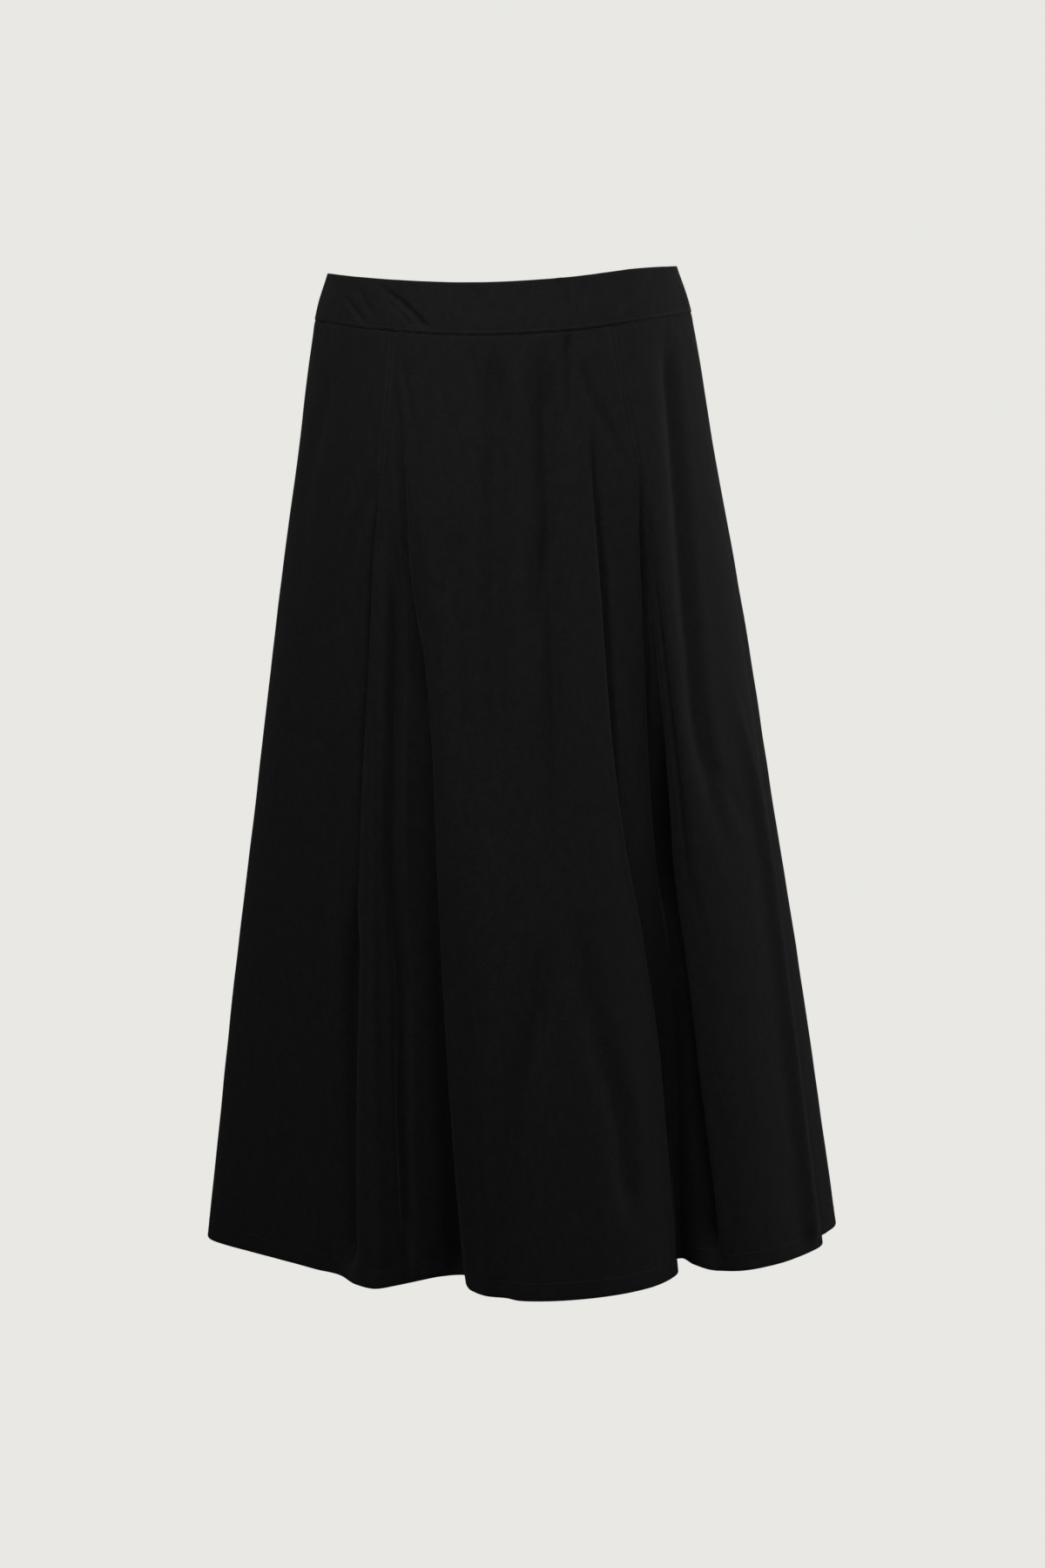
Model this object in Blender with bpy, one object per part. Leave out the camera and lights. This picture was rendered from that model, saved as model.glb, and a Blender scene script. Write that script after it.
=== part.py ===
"""A-line midi skirt, filled out as on a figure, hollow and open at waist and hem.

Metres, +Z up. The front of the skirt faces -Y, and +X is the wearer's left side.
The origin is the centre of the waist, half way up the waistband at the centre front.
Each cloth piece is a thin wall between the outer surface and the same surface moved in.
The outer surface is made of threads that run down the skirt, as the cloth hangs. A plain
round form, given by a few rings, carries them. From the level where the pleats are
released, each thread also leaves that form evenly, until it meets its place on the hem.
"""

import math
from collections import namedtuple

import bmesh
import bpy
from mathutils import Vector

# Cloth
PANEL_WALL = 0.0016
BAND_WALL = 0.0024
SEAM_GAP = 0.0003

# Rings of the plain form. drop is the way down from the waist seam at the centre front,
# front and back are the reach from the side seams, and side_rise and back_rise tell how
# much higher than the centre front the ring lies there.
SEAM_Z = -0.0213
BAND_HEIGHT = 0.0400
RELEASE_DROP = 0.1140
HEM_DROP = 0.7267
Ring = namedtuple("Ring", "name drop half_width front back side_rise back_rise")
RINGS = (
    Ring("band_top", -BAND_HEIGHT, 0.1372, 0.1040, 0.1020, 0.0088, -0.0037),
    Ring("waist_seam", 0.0, 0.1480, 0.1120, 0.1120, 0.0125, -0.0022),
    Ring("release", RELEASE_DROP, 0.1662, 0.1289, 0.1400, 0.0125, -0.0020),
    Ring("seat", 0.2000, 0.1805, 0.1400, 0.1560, 0.0105, -0.0015),
    Ring("knee", 0.4500, 0.2185, 0.1710, 0.1790, 0.0050, 0.0),
    Ring("hem", HEM_DROP, 0.2562, 0.2050, 0.1960, 0.0, 0.0),
)

# Fold lines, in order round the skirt from the wearer's right side seam over the front.
# Each one crosses the waist seam and the release level at the given distance to the
# wearer's left of the centre, and ends on the hem at hem_x, hem_out in front of the side
# seams, or behind them on the back.
Fold = namedtuple("Fold", "name seam_x release_x hem_x hem_out")
FRONT_FOLDS = (
    Fold("right_side_seam", -0.1480, -0.1662, -0.2562, 0.000),
    Fold("right_corner", -0.1470, -0.1650, -0.2525, 0.019),
    Fold("right_side_flat", -0.1330, -0.1500, -0.2160, 0.061),
    Fold("right_front_flat", -0.1060, -0.1210, -0.1640, 0.114),
    Fold("right_pleat_outer_edge", -0.0870, -0.0990, -0.1440, 0.132),
    Fold("right_pleat_flank", -0.0866, -0.0985, -0.1300, 0.161),
    Fold("right_pleat_crest", -0.0860, -0.0978, -0.1140, 0.175),
    Fold("right_pleat_inner_edge", -0.0850, -0.0960, -0.0960, 0.166),
    Fold("right_second_crest", -0.0845, -0.0890, -0.0840, 0.158),
    Fold("main_valley", -0.0800, -0.0770, -0.0640, 0.145),
    Fold("main_valley_wall", -0.0770, -0.0720, -0.0470, 0.151),
    Fold("centre_lobe_right_edge", -0.0730, -0.0670, -0.0400, 0.184),
    Fold("centre_lobe_right", -0.0600, -0.0550, -0.0200, 0.209),
    Fold("centre_lobe_crest", -0.0150, -0.0100, 0.0170, 0.2195),
    Fold("centre_lobe_left", 0.0150, 0.0250, 0.0600, 0.211),
    Fold("centre_lobe_left_turn", 0.0450, 0.0560, 0.1000, 0.186),
    Fold("centre_lobe_left_edge", 0.0607, 0.0720, 0.1190, 0.154),
    Fold("deep_recess_wall", 0.0700, 0.0800, 0.1212, 0.130),
    Fold("left_pleat_inner_edge", 0.0846, 0.1030, 0.1210, 0.107),
    Fold("left_pleat_valley", 0.0851, 0.1037, 0.1262, 0.104),
    Fold("left_pleat_rise", 0.0860, 0.1050, 0.1355, 0.124),
    Fold("left_pleat_turn", 0.0865, 0.1057, 0.1500, 0.141),
    Fold("left_pleat_outer_edge", 0.0870, 0.1064, 0.1700, 0.1445),
    Fold("left_front_flat", 0.1080, 0.1230, 0.1980, 0.129),
    Fold("left_soft_valley", 0.1270, 0.1350, 0.2180, 0.108),
    Fold("left_rim", 0.1400, 0.1540, 0.2340, 0.086),
    Fold("left_rim_edge", 0.1445, 0.1610, 0.2408, 0.068),
    Fold("left_tuck", 0.1462, 0.1635, 0.2378, 0.053),
    Fold("left_side_strip", 0.1470, 0.1648, 0.2460, 0.036),
    Fold("left_corner", 0.1477, 0.1658, 0.2545, 0.016),
)
BACK_FOLDS = (
    Fold("left_side_seam", 0.1480, 0.1662, 0.2562, 0.000),
    Fold("left_back_side", 0.1440, 0.1620, 0.2480, 0.035),
    Fold("left_back_valley", 0.1270, 0.1430, 0.2130, 0.078),
    Fold("left_back_crest", 0.1040, 0.1190, 0.1840, 0.132),
    Fold("left_back_crest_turn", 0.0850, 0.0970, 0.1440, 0.152),
    Fold("left_back_inner_valley", 0.0590, 0.0670, 0.1050, 0.156),
    Fold("left_back_middle_crest", 0.0360, 0.0410, 0.0680, 0.193),
    Fold("left_back_middle_turn", 0.0190, 0.0220, 0.0330, 0.203),
    Fold("centre_back_seam", 0.0000, 0.0000, 0.0000, 0.196),
    Fold("right_back_middle_turn", -0.0200, -0.0230, -0.0360, 0.192),
    Fold("right_back_middle_crest", -0.0400, -0.0460, -0.0730, 0.197),
    Fold("right_back_inner_turn", -0.0590, -0.0670, -0.1090, 0.180),
    Fold("right_back_inner_valley", -0.0830, -0.0950, -0.1370, 0.144),
    Fold("right_back_crest", -0.1080, -0.1230, -0.1830, 0.138),
    Fold("right_back_crest_turn", -0.1270, -0.1440, -0.2160, 0.103),
    Fold("right_back_valley", -0.1400, -0.1580, -0.2360, 0.056),
    Fold("right_back_side", -0.1460, -0.1640, -0.2530, 0.026),
)

# Cloth pieces, each from one fold line to another
Piece = namedtuple("Piece", "name first last")
PIECES = (
    Piece("front", "right_side_seam", "left_side_seam"),
    Piece("back_left", "left_side_seam", "centre_back_seam"),
    Piece("back_right", "centre_back_seam", "right_side_seam"),
)

# Mesh steps: a column for about this much of the hem, and rows down each stretch
COLUMN_STEP = 0.0095
FEWEST_COLUMNS = 2
BAND_ROWS = 2
STITCHED_ROWS = 3
RELEASED_ROWS = 9
ROW_GROWTH = 1.35

# Folded layers of each stitched-down pleat, behind the front panel
Intake = namedtuple("Intake", "name inner_fold outer_fold")
INTAKES = (
    Intake("right_pleat_intake", "right_pleat_inner_edge", "right_pleat_outer_edge"),
    Intake("left_pleat_intake", "left_pleat_inner_edge", "left_pleat_outer_edge"),
)
INTAKE_HALF_WIDTH = 0.0190
INTAKE_WALL = 0.0016
INTAKE_COLUMNS = 6
INTAKE_MARGIN = 0.0010
INTAKE_REACH = 0.0005

# Concealed zip in the centre back seam. The slider stands at its closed, upper end.
TAPE_TOP_BELOW_EDGE = 0.0040
TAPE_PANEL_ROWS = STITCHED_ROWS + 1
TAPE_HALF_WIDTH_PLACES = 2.4
TAPE_WALL = 0.0010
TAPE_COLUMNS = 4
TAPE_STEP_OVER = 0.0030
SLIDER_BELOW_EDGE = 0.0085
SLIDER_HALF_WIDTH = 0.0031
SLIDER_HALF_LENGTH = 0.0050
SLIDER_THICKNESS = 0.0014
CROWN_RADIUS = 0.0028
CROWN_WIRE = 0.0008
CROWN_SINK = 0.0006
CROWN_SIDES = 8
CROWN_STEPS = 10
SMALL_BEVEL = 0.0002

# Pull tab: a bar under the slider's crown, two arms, and a drop-shaped plate
PULL_AXIS_ABOVE_SLIDER = 0.0010
PULL_HALF_THICKNESS = 0.0006
PULL_BAR = 0.0006
PULL_WINDOW_HALF_WIDTH = 0.0012
PULL_WINDOW_END = 0.0045
PULL_NECK_HALF_WIDTH = 0.0024
PULL_NECK_END = 0.0060
PULL_DROP_HALF_WIDTH = 0.0036
PULL_DROP_CENTRE = 0.0145
PULL_LENGTH = 0.0200
PULL_OUTLINE_STEPS = 7


# Materials and objects


def material(name, colour, roughness, metallic=0.0):
    """A plain surface of one colour."""
    made = bpy.data.materials.new(name)
    made.use_nodes = True
    shader = made.node_tree.nodes["Principled BSDF"]
    shader.inputs["Base Color"].default_value = (*colour, 1.0)
    shader.inputs["Roughness"].default_value = roughness
    shader.inputs["Metallic"].default_value = metallic
    return made


def show(name, made, surface):
    """Turns a bmesh into a smooth-shaded object with its material."""
    mesh = bpy.data.meshes.new(name)
    bmesh.ops.recalc_face_normals(made, faces=made.faces[:])
    made.to_mesh(mesh)
    made.free()
    mesh.materials.append(surface)
    mesh.shade_smooth()
    mesh.set_sharp_from_angle(angle=math.radians(50))
    shown = bpy.data.objects.new(name, mesh)
    bpy.context.scene.collection.objects.link(shown)
    return shown


# Plain form


def blend(low, high, share):
    """The value between two numbers, or between two vectors."""
    return low + (high - low) * share


def ring_at(drop):
    """The ring at any drop, on a smooth line through the table's rings."""
    last = len(RINGS) - 2
    i = max(k for k in range(last + 1) if k == 0 or RINGS[k].drop <= drop)
    above, below = RINGS[i], RINGS[i + 1]
    before, after = RINGS[max(i - 1, 0)], RINGS[min(i + 2, last + 1)]
    span = below.drop - above.drop
    t = (drop - above.drop) / span
    values = []
    for column in range(2, len(Ring._fields)):
        slope_above = (below[column] - before[column]) / (below.drop - before.drop)
        slope_below = (after[column] - above[column]) / (after.drop - above.drop)
        values.append(
            (2 * t**3 - 3 * t**2 + 1) * above[column]
            + (t**3 - 2 * t**2 + t) * span * slope_above
            + (3 * t**2 - 2 * t**3) * below[column]
            + (t**3 - t**2) * span * slope_below
        )
    return Ring("between", drop, *values)


def form_point(angle, drop):
    """A point of the plain form. Angle 0 is the centre front, and it grows to the wearer's left."""
    ring = ring_at(drop)
    on_front = math.cos(angle) >= 0
    reach = ring.front if on_front else ring.back
    middle_rise = 0.0 if on_front else ring.back_rise
    rise = blend(middle_rise, ring.side_rise, math.sin(angle) ** 2)
    x = ring.half_width * math.sin(angle)
    return Vector((x, -reach * math.cos(angle), SEAM_Z - drop + rise))


def angle_of(x, half_width, on_back):
    """The angle where a ring has this x, on its front or its back."""
    angle = math.asin(max(-1.0, min(1.0, x / half_width)))
    return math.pi - angle if on_back else angle


# Threads


Thread = namedtuple("Thread", "seam_angle release_angle hem_angle fold_offset")


def knot_gap(start, end):
    """Spacing of a curve's knots, chosen so that it doesn't overshoot beside a short step."""
    return math.sqrt(max((end - start).length, 1e-6))


def curve_between(before, start, end, after, share):
    """A point between the middle two of four points, on the smooth curve through them all."""
    t1 = knot_gap(before, start)
    t2 = t1 + knot_gap(start, end)
    t3 = t2 + knot_gap(end, after)
    t = blend(t1, t2, share)
    a1 = blend(before, start, t / t1)
    a2 = blend(start, end, (t - t1) / (t2 - t1))
    a3 = blend(end, after, (t - t2) / (t3 - t2))
    b1 = blend(a1, a2, t / t2)
    b2 = blend(a2, a3, (t - t1) / (t3 - t1))
    return blend(b1, b2, (t - t1) / (t2 - t1))


def fold_angles(fold, on_back):
    """Where a fold line crosses the waist seam, the release level and the hem."""
    crossings = ((fold.seam_x, 0.0), (fold.release_x, RELEASE_DROP), (fold.hem_x, HEM_DROP))
    return tuple(angle_of(x, ring_at(drop).half_width, on_back) for x, drop in crossings)


def make_threads():
    """All threads round the skirt, and the place of each fold line among them."""
    folds = FRONT_FOLDS + BACK_FOLDS
    count = len(folds)
    on_back = [fold in BACK_FOLDS for fold in folds]
    angles = [fold_angles(fold, back) for fold, back in zip(folds, on_back)]
    angles.append(tuple(angle + 2 * math.pi for angle in angles[0]))
    hem_z = SEAM_Z - HEM_DROP
    hems = [
        Vector((fold.hem_x, fold.hem_out if back else -fold.hem_out, hem_z))
        for fold, back in zip(folds, on_back)
    ]
    threads = []
    places = {}
    for i, fold in enumerate(folds):
        places[fold.name] = len(threads)
        corners = [hems[(i + k) % count] for k in (-1, 0, 1, 2)]
        length = (corners[2] - corners[1]).length
        steps = max(FEWEST_COLUMNS, round(length / COLUMN_STEP))
        for step in range(steps):
            share = step / steps
            crossings = [blend(a, b, share) for a, b in zip(angles[i], angles[i + 1])]
            hem = curve_between(*corners, share)
            threads.append(Thread(*crossings, hem - form_point(crossings[2], HEM_DROP)))
    return threads, places


THREADS, PLACES = make_threads()


def thread_point(thread, drop):
    """A point of the outer surface, this far down one thread."""
    stitched = max(0.0, min(1.0, drop / RELEASE_DROP))
    released = max(0.0, (drop - RELEASE_DROP) / (HEM_DROP - RELEASE_DROP))
    angle = blend(thread.seam_angle, thread.release_angle, stitched)
    angle = blend(angle, thread.hem_angle, released)
    return form_point(angle, drop) + thread.fold_offset * released


def cloth_point(place, drop):
    """A point of the outer surface, at a whole or broken place among the threads."""
    count = len(THREADS)
    whole = math.floor(place)
    here = thread_point(THREADS[whole % count], drop)
    there = thread_point(THREADS[(whole + 1) % count], drop)
    return blend(here, there, place - whole)


def place_range(piece):
    """All places of a piece, from its first fold line to its last."""
    start = PLACES[piece.first]
    end = PLACES[piece.last]
    if end <= start:
        end += len(THREADS)
    return list(range(start, end + 1))


# Walls


def outward(point_at, column, drop, reach):
    """The level direction that points out of the cloth."""
    along = point_at(column + reach, drop) - point_at(column - reach, drop)
    return Vector((along.y, -along.x, 0.0)).normalized()


def wall(point_at, columns, drops, inset_at, thickness, side_gap, reach=0.5):
    """A closed wall on a surface, moved in by inset_at(drop), with side_gap cut off both side edges."""
    made = bmesh.new()
    grids = []
    for layer in (0.0, thickness):
        grid = []
        for drop in drops:
            depth = inset_at(drop) + layer
            row = [
                point_at(column, drop) - outward(point_at, column, drop, reach) * depth
                for column in columns
            ]
            row[0] += (row[1] - row[0]).normalized() * side_gap
            row[-1] += (row[-2] - row[-1]).normalized() * side_gap
            grid.append([made.verts.new(point) for point in row])
        grids.append(grid)
    outer, inner = grids
    last_row = len(drops) - 1
    last_column = len(columns) - 1
    for r in range(last_row):
        for c in range(last_column):
            made.faces.new((outer[r][c], outer[r + 1][c], outer[r + 1][c + 1], outer[r][c + 1]))
            made.faces.new((inner[r][c], inner[r][c + 1], inner[r + 1][c + 1], inner[r + 1][c]))
    for r, top in ((0, True), (last_row, False)):
        for c in range(last_column):
            edge = (outer[r][c], outer[r][c + 1], inner[r][c + 1], inner[r][c])
            made.faces.new(edge if top else edge[::-1])
    for c, first in ((0, True), (last_column, False)):
        for r in range(last_row):
            edge = (outer[r][c], inner[r][c], inner[r + 1][c], outer[r + 1][c])
            made.faces.new(edge if first else edge[::-1])
    return made


def steps_between(low, high, steps):
    """Evenly spaced values, both ends included."""
    return [blend(low, high, i / steps) for i in range(steps + 1)]


def stitched_drops():
    """The rows between the waist seam and the release level."""
    return steps_between(SEAM_GAP / 2, RELEASE_DROP, STITCHED_ROWS)


def panel_drops():
    """All rows of a panel. Below the release level they lie closest where the form is roundest."""
    shares = steps_between(0.0, 1.0, RELEASED_ROWS)
    released = [blend(RELEASE_DROP, HEM_DROP, share**ROW_GROWTH) for share in shares]
    return stitched_drops() + released[1:]


def band_drops():
    """The rows of the waistband."""
    return steps_between(-BAND_HEIGHT, -SEAM_GAP / 2, BAND_ROWS)


def on_surface(drop):
    """The inset of a piece whose outer face is the outer surface itself."""
    return 0.0


def make_panels(cloth):
    """The front and the two back panels, from the waist seam to the hem."""
    for piece in PIECES:
        places = place_range(piece)
        made = wall(cloth_point, places, panel_drops(), on_surface, PANEL_WALL, SEAM_GAP / 2)
        show(piece.name + "_panel", made, cloth)


def make_waistband(cloth):
    """The waistband's front and its two back halves."""
    for piece in PIECES:
        places = place_range(piece)
        kept = places[:-1:2] + places[-1:]
        made = wall(cloth_point, kept, band_drops(), on_surface, BAND_WALL, SEAM_GAP / 2)
        show(piece.name + "_waistband", made, cloth)


def behind_panel(drop):
    """The inset of a piece that lies on the panels' inner face."""
    return PANEL_WALL + SEAM_GAP


def make_intakes(cloth):
    """The layers of cloth that each stitched-down pleat folds away behind the front."""
    drops = [INTAKE_MARGIN, *stitched_drops()[1:-1], RELEASE_DROP - INTAKE_MARGIN]
    offsets = steps_between(-INTAKE_HALF_WIDTH, INTAKE_HALF_WIDTH, INTAKE_COLUMNS)
    for intake in INTAKES:
        inner = THREADS[PLACES[intake.inner_fold]]
        outer = THREADS[PLACES[intake.outer_fold]]
        seam_angle = (inner.seam_angle + outer.seam_angle) / 2
        release_angle = (inner.release_angle + outer.release_angle) / 2

        def behind(offset, drop):
            ring = ring_at(drop)
            radius = (ring.half_width + ring.front) / 2
            stitch_line = blend(seam_angle, release_angle, drop / RELEASE_DROP)
            return form_point(stitch_line + offset / radius, drop)

        made = wall(behind, offsets, drops, behind_panel, INTAKE_WALL, 0.0, INTAKE_REACH)
        show(intake.name, made, cloth)


# Zip


def make_tape(cloth):
    """The zip's tape, behind the centre back seam and the waistband's back edges."""
    centre = PLACES["centre_back_seam"]
    columns = steps_between(
        centre - TAPE_HALF_WIDTH_PLACES, centre + TAPE_HALF_WIDTH_PLACES, TAPE_COLUMNS
    )
    drops = [-BAND_HEIGHT + TAPE_TOP_BELOW_EDGE, *band_drops()[1:-1], 0.0, TAPE_STEP_OVER]
    drops += panel_drops()[1 : TAPE_PANEL_ROWS + 1]

    def behind_back(drop):
        return behind_panel(drop) if drop >= TAPE_STEP_OVER else BAND_WALL + SEAM_GAP

    made = wall(cloth_point, columns, drops, behind_back, TAPE_WALL, 0.0)
    show("zip_tape", made, cloth)


def slider_frame():
    """The slider's place on the outer surface, and its directions down the cloth and out of it."""
    centre = PLACES["centre_back_seam"]
    drop = -BAND_HEIGHT + SLIDER_BELOW_EDGE
    origin = cloth_point(centre, drop)
    below = cloth_point(centre, drop + SLIDER_HALF_LENGTH)
    above = cloth_point(centre, drop - SLIDER_HALF_LENGTH)
    down = (below - above).normalized()
    across = Vector((1.0, 0.0, 0.0))
    return origin, across, down, across.cross(down)


def on_slider(points_frame, x, down, out):
    """A point given across, down and out from the slider's place."""
    origin, across, down_way, out_way = points_frame
    return origin + across * x + down_way * down + out_way * out


def slab(outline, low, high, points_frame):
    """A closed plate with this outline in across and down, between two distances out."""
    made = bmesh.new()
    lower = [made.verts.new(on_slider(points_frame, x, down, low)) for x, down in outline]
    upper = [made.verts.new(on_slider(points_frame, x, down, high)) for x, down in outline]
    made.faces.new(lower)
    made.faces.new(upper[::-1])
    for i, start in enumerate(lower):
        j = (i + 1) % len(lower)
        made.faces.new((start, lower[j], upper[j], upper[i]))
    return made


def rectangle(half_width, top, bottom):
    """Corners of a rectangle, across and down."""
    return (
        (-half_width, top),
        (half_width, top),
        (half_width, bottom),
        (-half_width, bottom),
    )


def crown(points_frame, base):
    """The slider's bridge: a half ring of round wire with its ends sunk in the slider."""
    made = bmesh.new()
    rings = []
    sink = CROWN_SINK / CROWN_RADIUS
    for step in range(CROWN_STEPS + 1):
        arc = blend(-sink, math.pi + sink, step / CROWN_STEPS)
        ring = []
        for side in range(CROWN_SIDES):
            turn = 2 * math.pi * side / CROWN_SIDES
            radius = CROWN_RADIUS + CROWN_WIRE * math.cos(turn)
            x = CROWN_WIRE * math.sin(turn)
            down = radius * math.cos(arc)
            out = base + radius * math.sin(arc)
            ring.append(made.verts.new(on_slider(points_frame, x, down, out)))
        rings.append(ring)
    for ring, following in zip(rings, rings[1:]):
        for i, start in enumerate(ring):
            j = (i + 1) % CROWN_SIDES
            made.faces.new((start, ring[j], following[j], following[i]))
    made.faces.new(rings[0][::-1])
    made.faces.new(rings[-1])
    return made


def combine(target, operand, operation):
    """Adds or cuts one object with another, which then stays out of the part."""
    operand.hide_render = True
    operand.display_type = "WIRE"
    modifier = target.modifiers.new(operation.lower(), "BOOLEAN")
    modifier.operation = operation
    modifier.object = operand


def pull_half_width(down):
    """Half the width of the pull tab, this far down from its bar, as far as the drop's centre."""
    share = max(0.0, (down - PULL_NECK_END) / (PULL_DROP_CENTRE - PULL_NECK_END))
    ease = share * share * (3 - 2 * share)
    return blend(PULL_NECK_HALF_WIDTH, PULL_DROP_HALF_WIDTH, ease)


def pull_outline():
    """The tab's outline: down one side, round the drop's end and up the other side."""
    neck = [-PULL_BAR] + steps_between(PULL_NECK_END, PULL_DROP_CENTRE, PULL_OUTLINE_STEPS)
    side = [(pull_half_width(down), down) for down in neck]
    for step in range(1, PULL_OUTLINE_STEPS):
        turn = math.pi / 2 * step / PULL_OUTLINE_STEPS
        down = blend(PULL_DROP_CENTRE, PULL_LENGTH, math.sin(turn))
        side.append((PULL_DROP_HALF_WIDTH * math.cos(turn), down))
    other_side = [(-x, down) for x, down in side[::-1]]
    return side + [(0.0, PULL_LENGTH)] + other_side


def make_slider_and_pull(metal):
    """The slider on the waistband at the centre back, and the pull tab that hangs from it."""
    frame = slider_frame()
    low = SEAM_GAP
    high = low + SLIDER_THICKNESS
    body = slab(
        rectangle(SLIDER_HALF_WIDTH, -SLIDER_HALF_LENGTH, SLIDER_HALF_LENGTH), low, high, frame
    )
    bmesh.ops.bevel(body, geom=body.edges[:], offset=SMALL_BEVEL, segments=2, affect="EDGES")
    slider = show("zip_slider", body, metal)
    combine(slider, show("zip_crown", crown(frame, high), metal), "UNION")

    axis_out = high + PULL_AXIS_ABOVE_SLIDER
    plate = slab(
        pull_outline(), axis_out - PULL_HALF_THICKNESS, axis_out + PULL_HALF_THICKNESS, frame
    )
    bmesh.ops.bevel(plate, geom=plate.edges[:], offset=SMALL_BEVEL, segments=1, affect="EDGES")
    pull = show("zip_pull", plate, metal)
    window = slab(
        rectangle(PULL_WINDOW_HALF_WIDTH, PULL_BAR, PULL_WINDOW_END),
        axis_out - 2 * PULL_HALF_THICKNESS,
        axis_out + 2 * PULL_HALF_THICKNESS,
        frame,
    )
    combine(pull, show("zip_pull_window", window, metal), "DIFFERENCE")
    hang_on_axis(pull, on_slider(frame, 0.0, 0.0, axis_out))


def hang_on_axis(pull, axis_point):
    """Puts the tab's own origin on the axis of its bar."""
    for vertex in pull.data.vertices:
        vertex.co -= axis_point
    pull.location = axis_point


# Scene


def clear_scene():
    for old in list(bpy.data.objects):
        bpy.data.objects.remove(old, do_unlink=True)


def main():
    clear_scene()
    cloth = material("black_cotton", (0.012, 0.012, 0.013), 0.85)
    tape = material("black_tape", (0.010, 0.010, 0.011), 0.75)
    lacquer = material("black_lacquered_metal", (0.015, 0.015, 0.016), 0.35, 0.6)
    make_panels(cloth)
    make_waistband(cloth)
    make_intakes(cloth)
    make_tape(tape)
    make_slider_and_pull(lacquer)


main()
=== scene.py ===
"""Looks of a black cotton A-line midi skirt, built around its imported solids.

Metres, +Z up. The front of the skirt faces -Y, and +X is the wearer's left side.
The cloth pieces are thin shells on the same outer surface as the solids, with more columns
and rows, the creases of the photo, turned edges, seams, stitches and a hem.
"""

import math
from collections import namedtuple

import bpy
import numpy as np
from mathutils import Matrix, Vector, noise


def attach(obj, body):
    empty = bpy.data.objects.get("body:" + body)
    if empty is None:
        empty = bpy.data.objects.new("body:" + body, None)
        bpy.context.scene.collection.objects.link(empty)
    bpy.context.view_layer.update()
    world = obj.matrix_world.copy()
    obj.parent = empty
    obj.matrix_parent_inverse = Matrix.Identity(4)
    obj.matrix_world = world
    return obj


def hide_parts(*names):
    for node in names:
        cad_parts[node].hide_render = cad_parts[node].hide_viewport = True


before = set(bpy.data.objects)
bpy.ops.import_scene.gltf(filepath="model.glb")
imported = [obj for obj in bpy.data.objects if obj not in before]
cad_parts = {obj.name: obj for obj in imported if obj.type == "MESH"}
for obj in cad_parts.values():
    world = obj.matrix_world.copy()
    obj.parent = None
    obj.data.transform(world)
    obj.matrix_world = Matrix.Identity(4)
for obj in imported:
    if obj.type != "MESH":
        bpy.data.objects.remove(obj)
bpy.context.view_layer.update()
BODY = "skirt"

# Rings of the plain form, as in the solids. drop is the way down from the waist seam at the
# centre front, front and back are the reach from the side seams, and side_rise and
# back_rise tell how much higher than the centre front the ring lies there.
SEAM_Z = -0.0213
BAND_HEIGHT = 0.0400
RELEASE_DROP = 0.1140
HEM_DROP = 0.7267
Ring = namedtuple("Ring", "name drop half_width front back side_rise back_rise")
RINGS = (
    Ring("band_top", -BAND_HEIGHT, 0.1372, 0.1040, 0.1020, 0.0088, -0.0037),
    Ring("waist_seam", 0.0, 0.1480, 0.1120, 0.1120, 0.0125, -0.0022),
    Ring("release", RELEASE_DROP, 0.1662, 0.1289, 0.1400, 0.0125, -0.0020),
    Ring("seat", 0.2000, 0.1805, 0.1400, 0.1560, 0.0105, -0.0015),
    Ring("knee", 0.4500, 0.2185, 0.1710, 0.1790, 0.0050, 0.0),
    Ring("hem", HEM_DROP, 0.2562, 0.2050, 0.1960, 0.0, 0.0),
)

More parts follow.
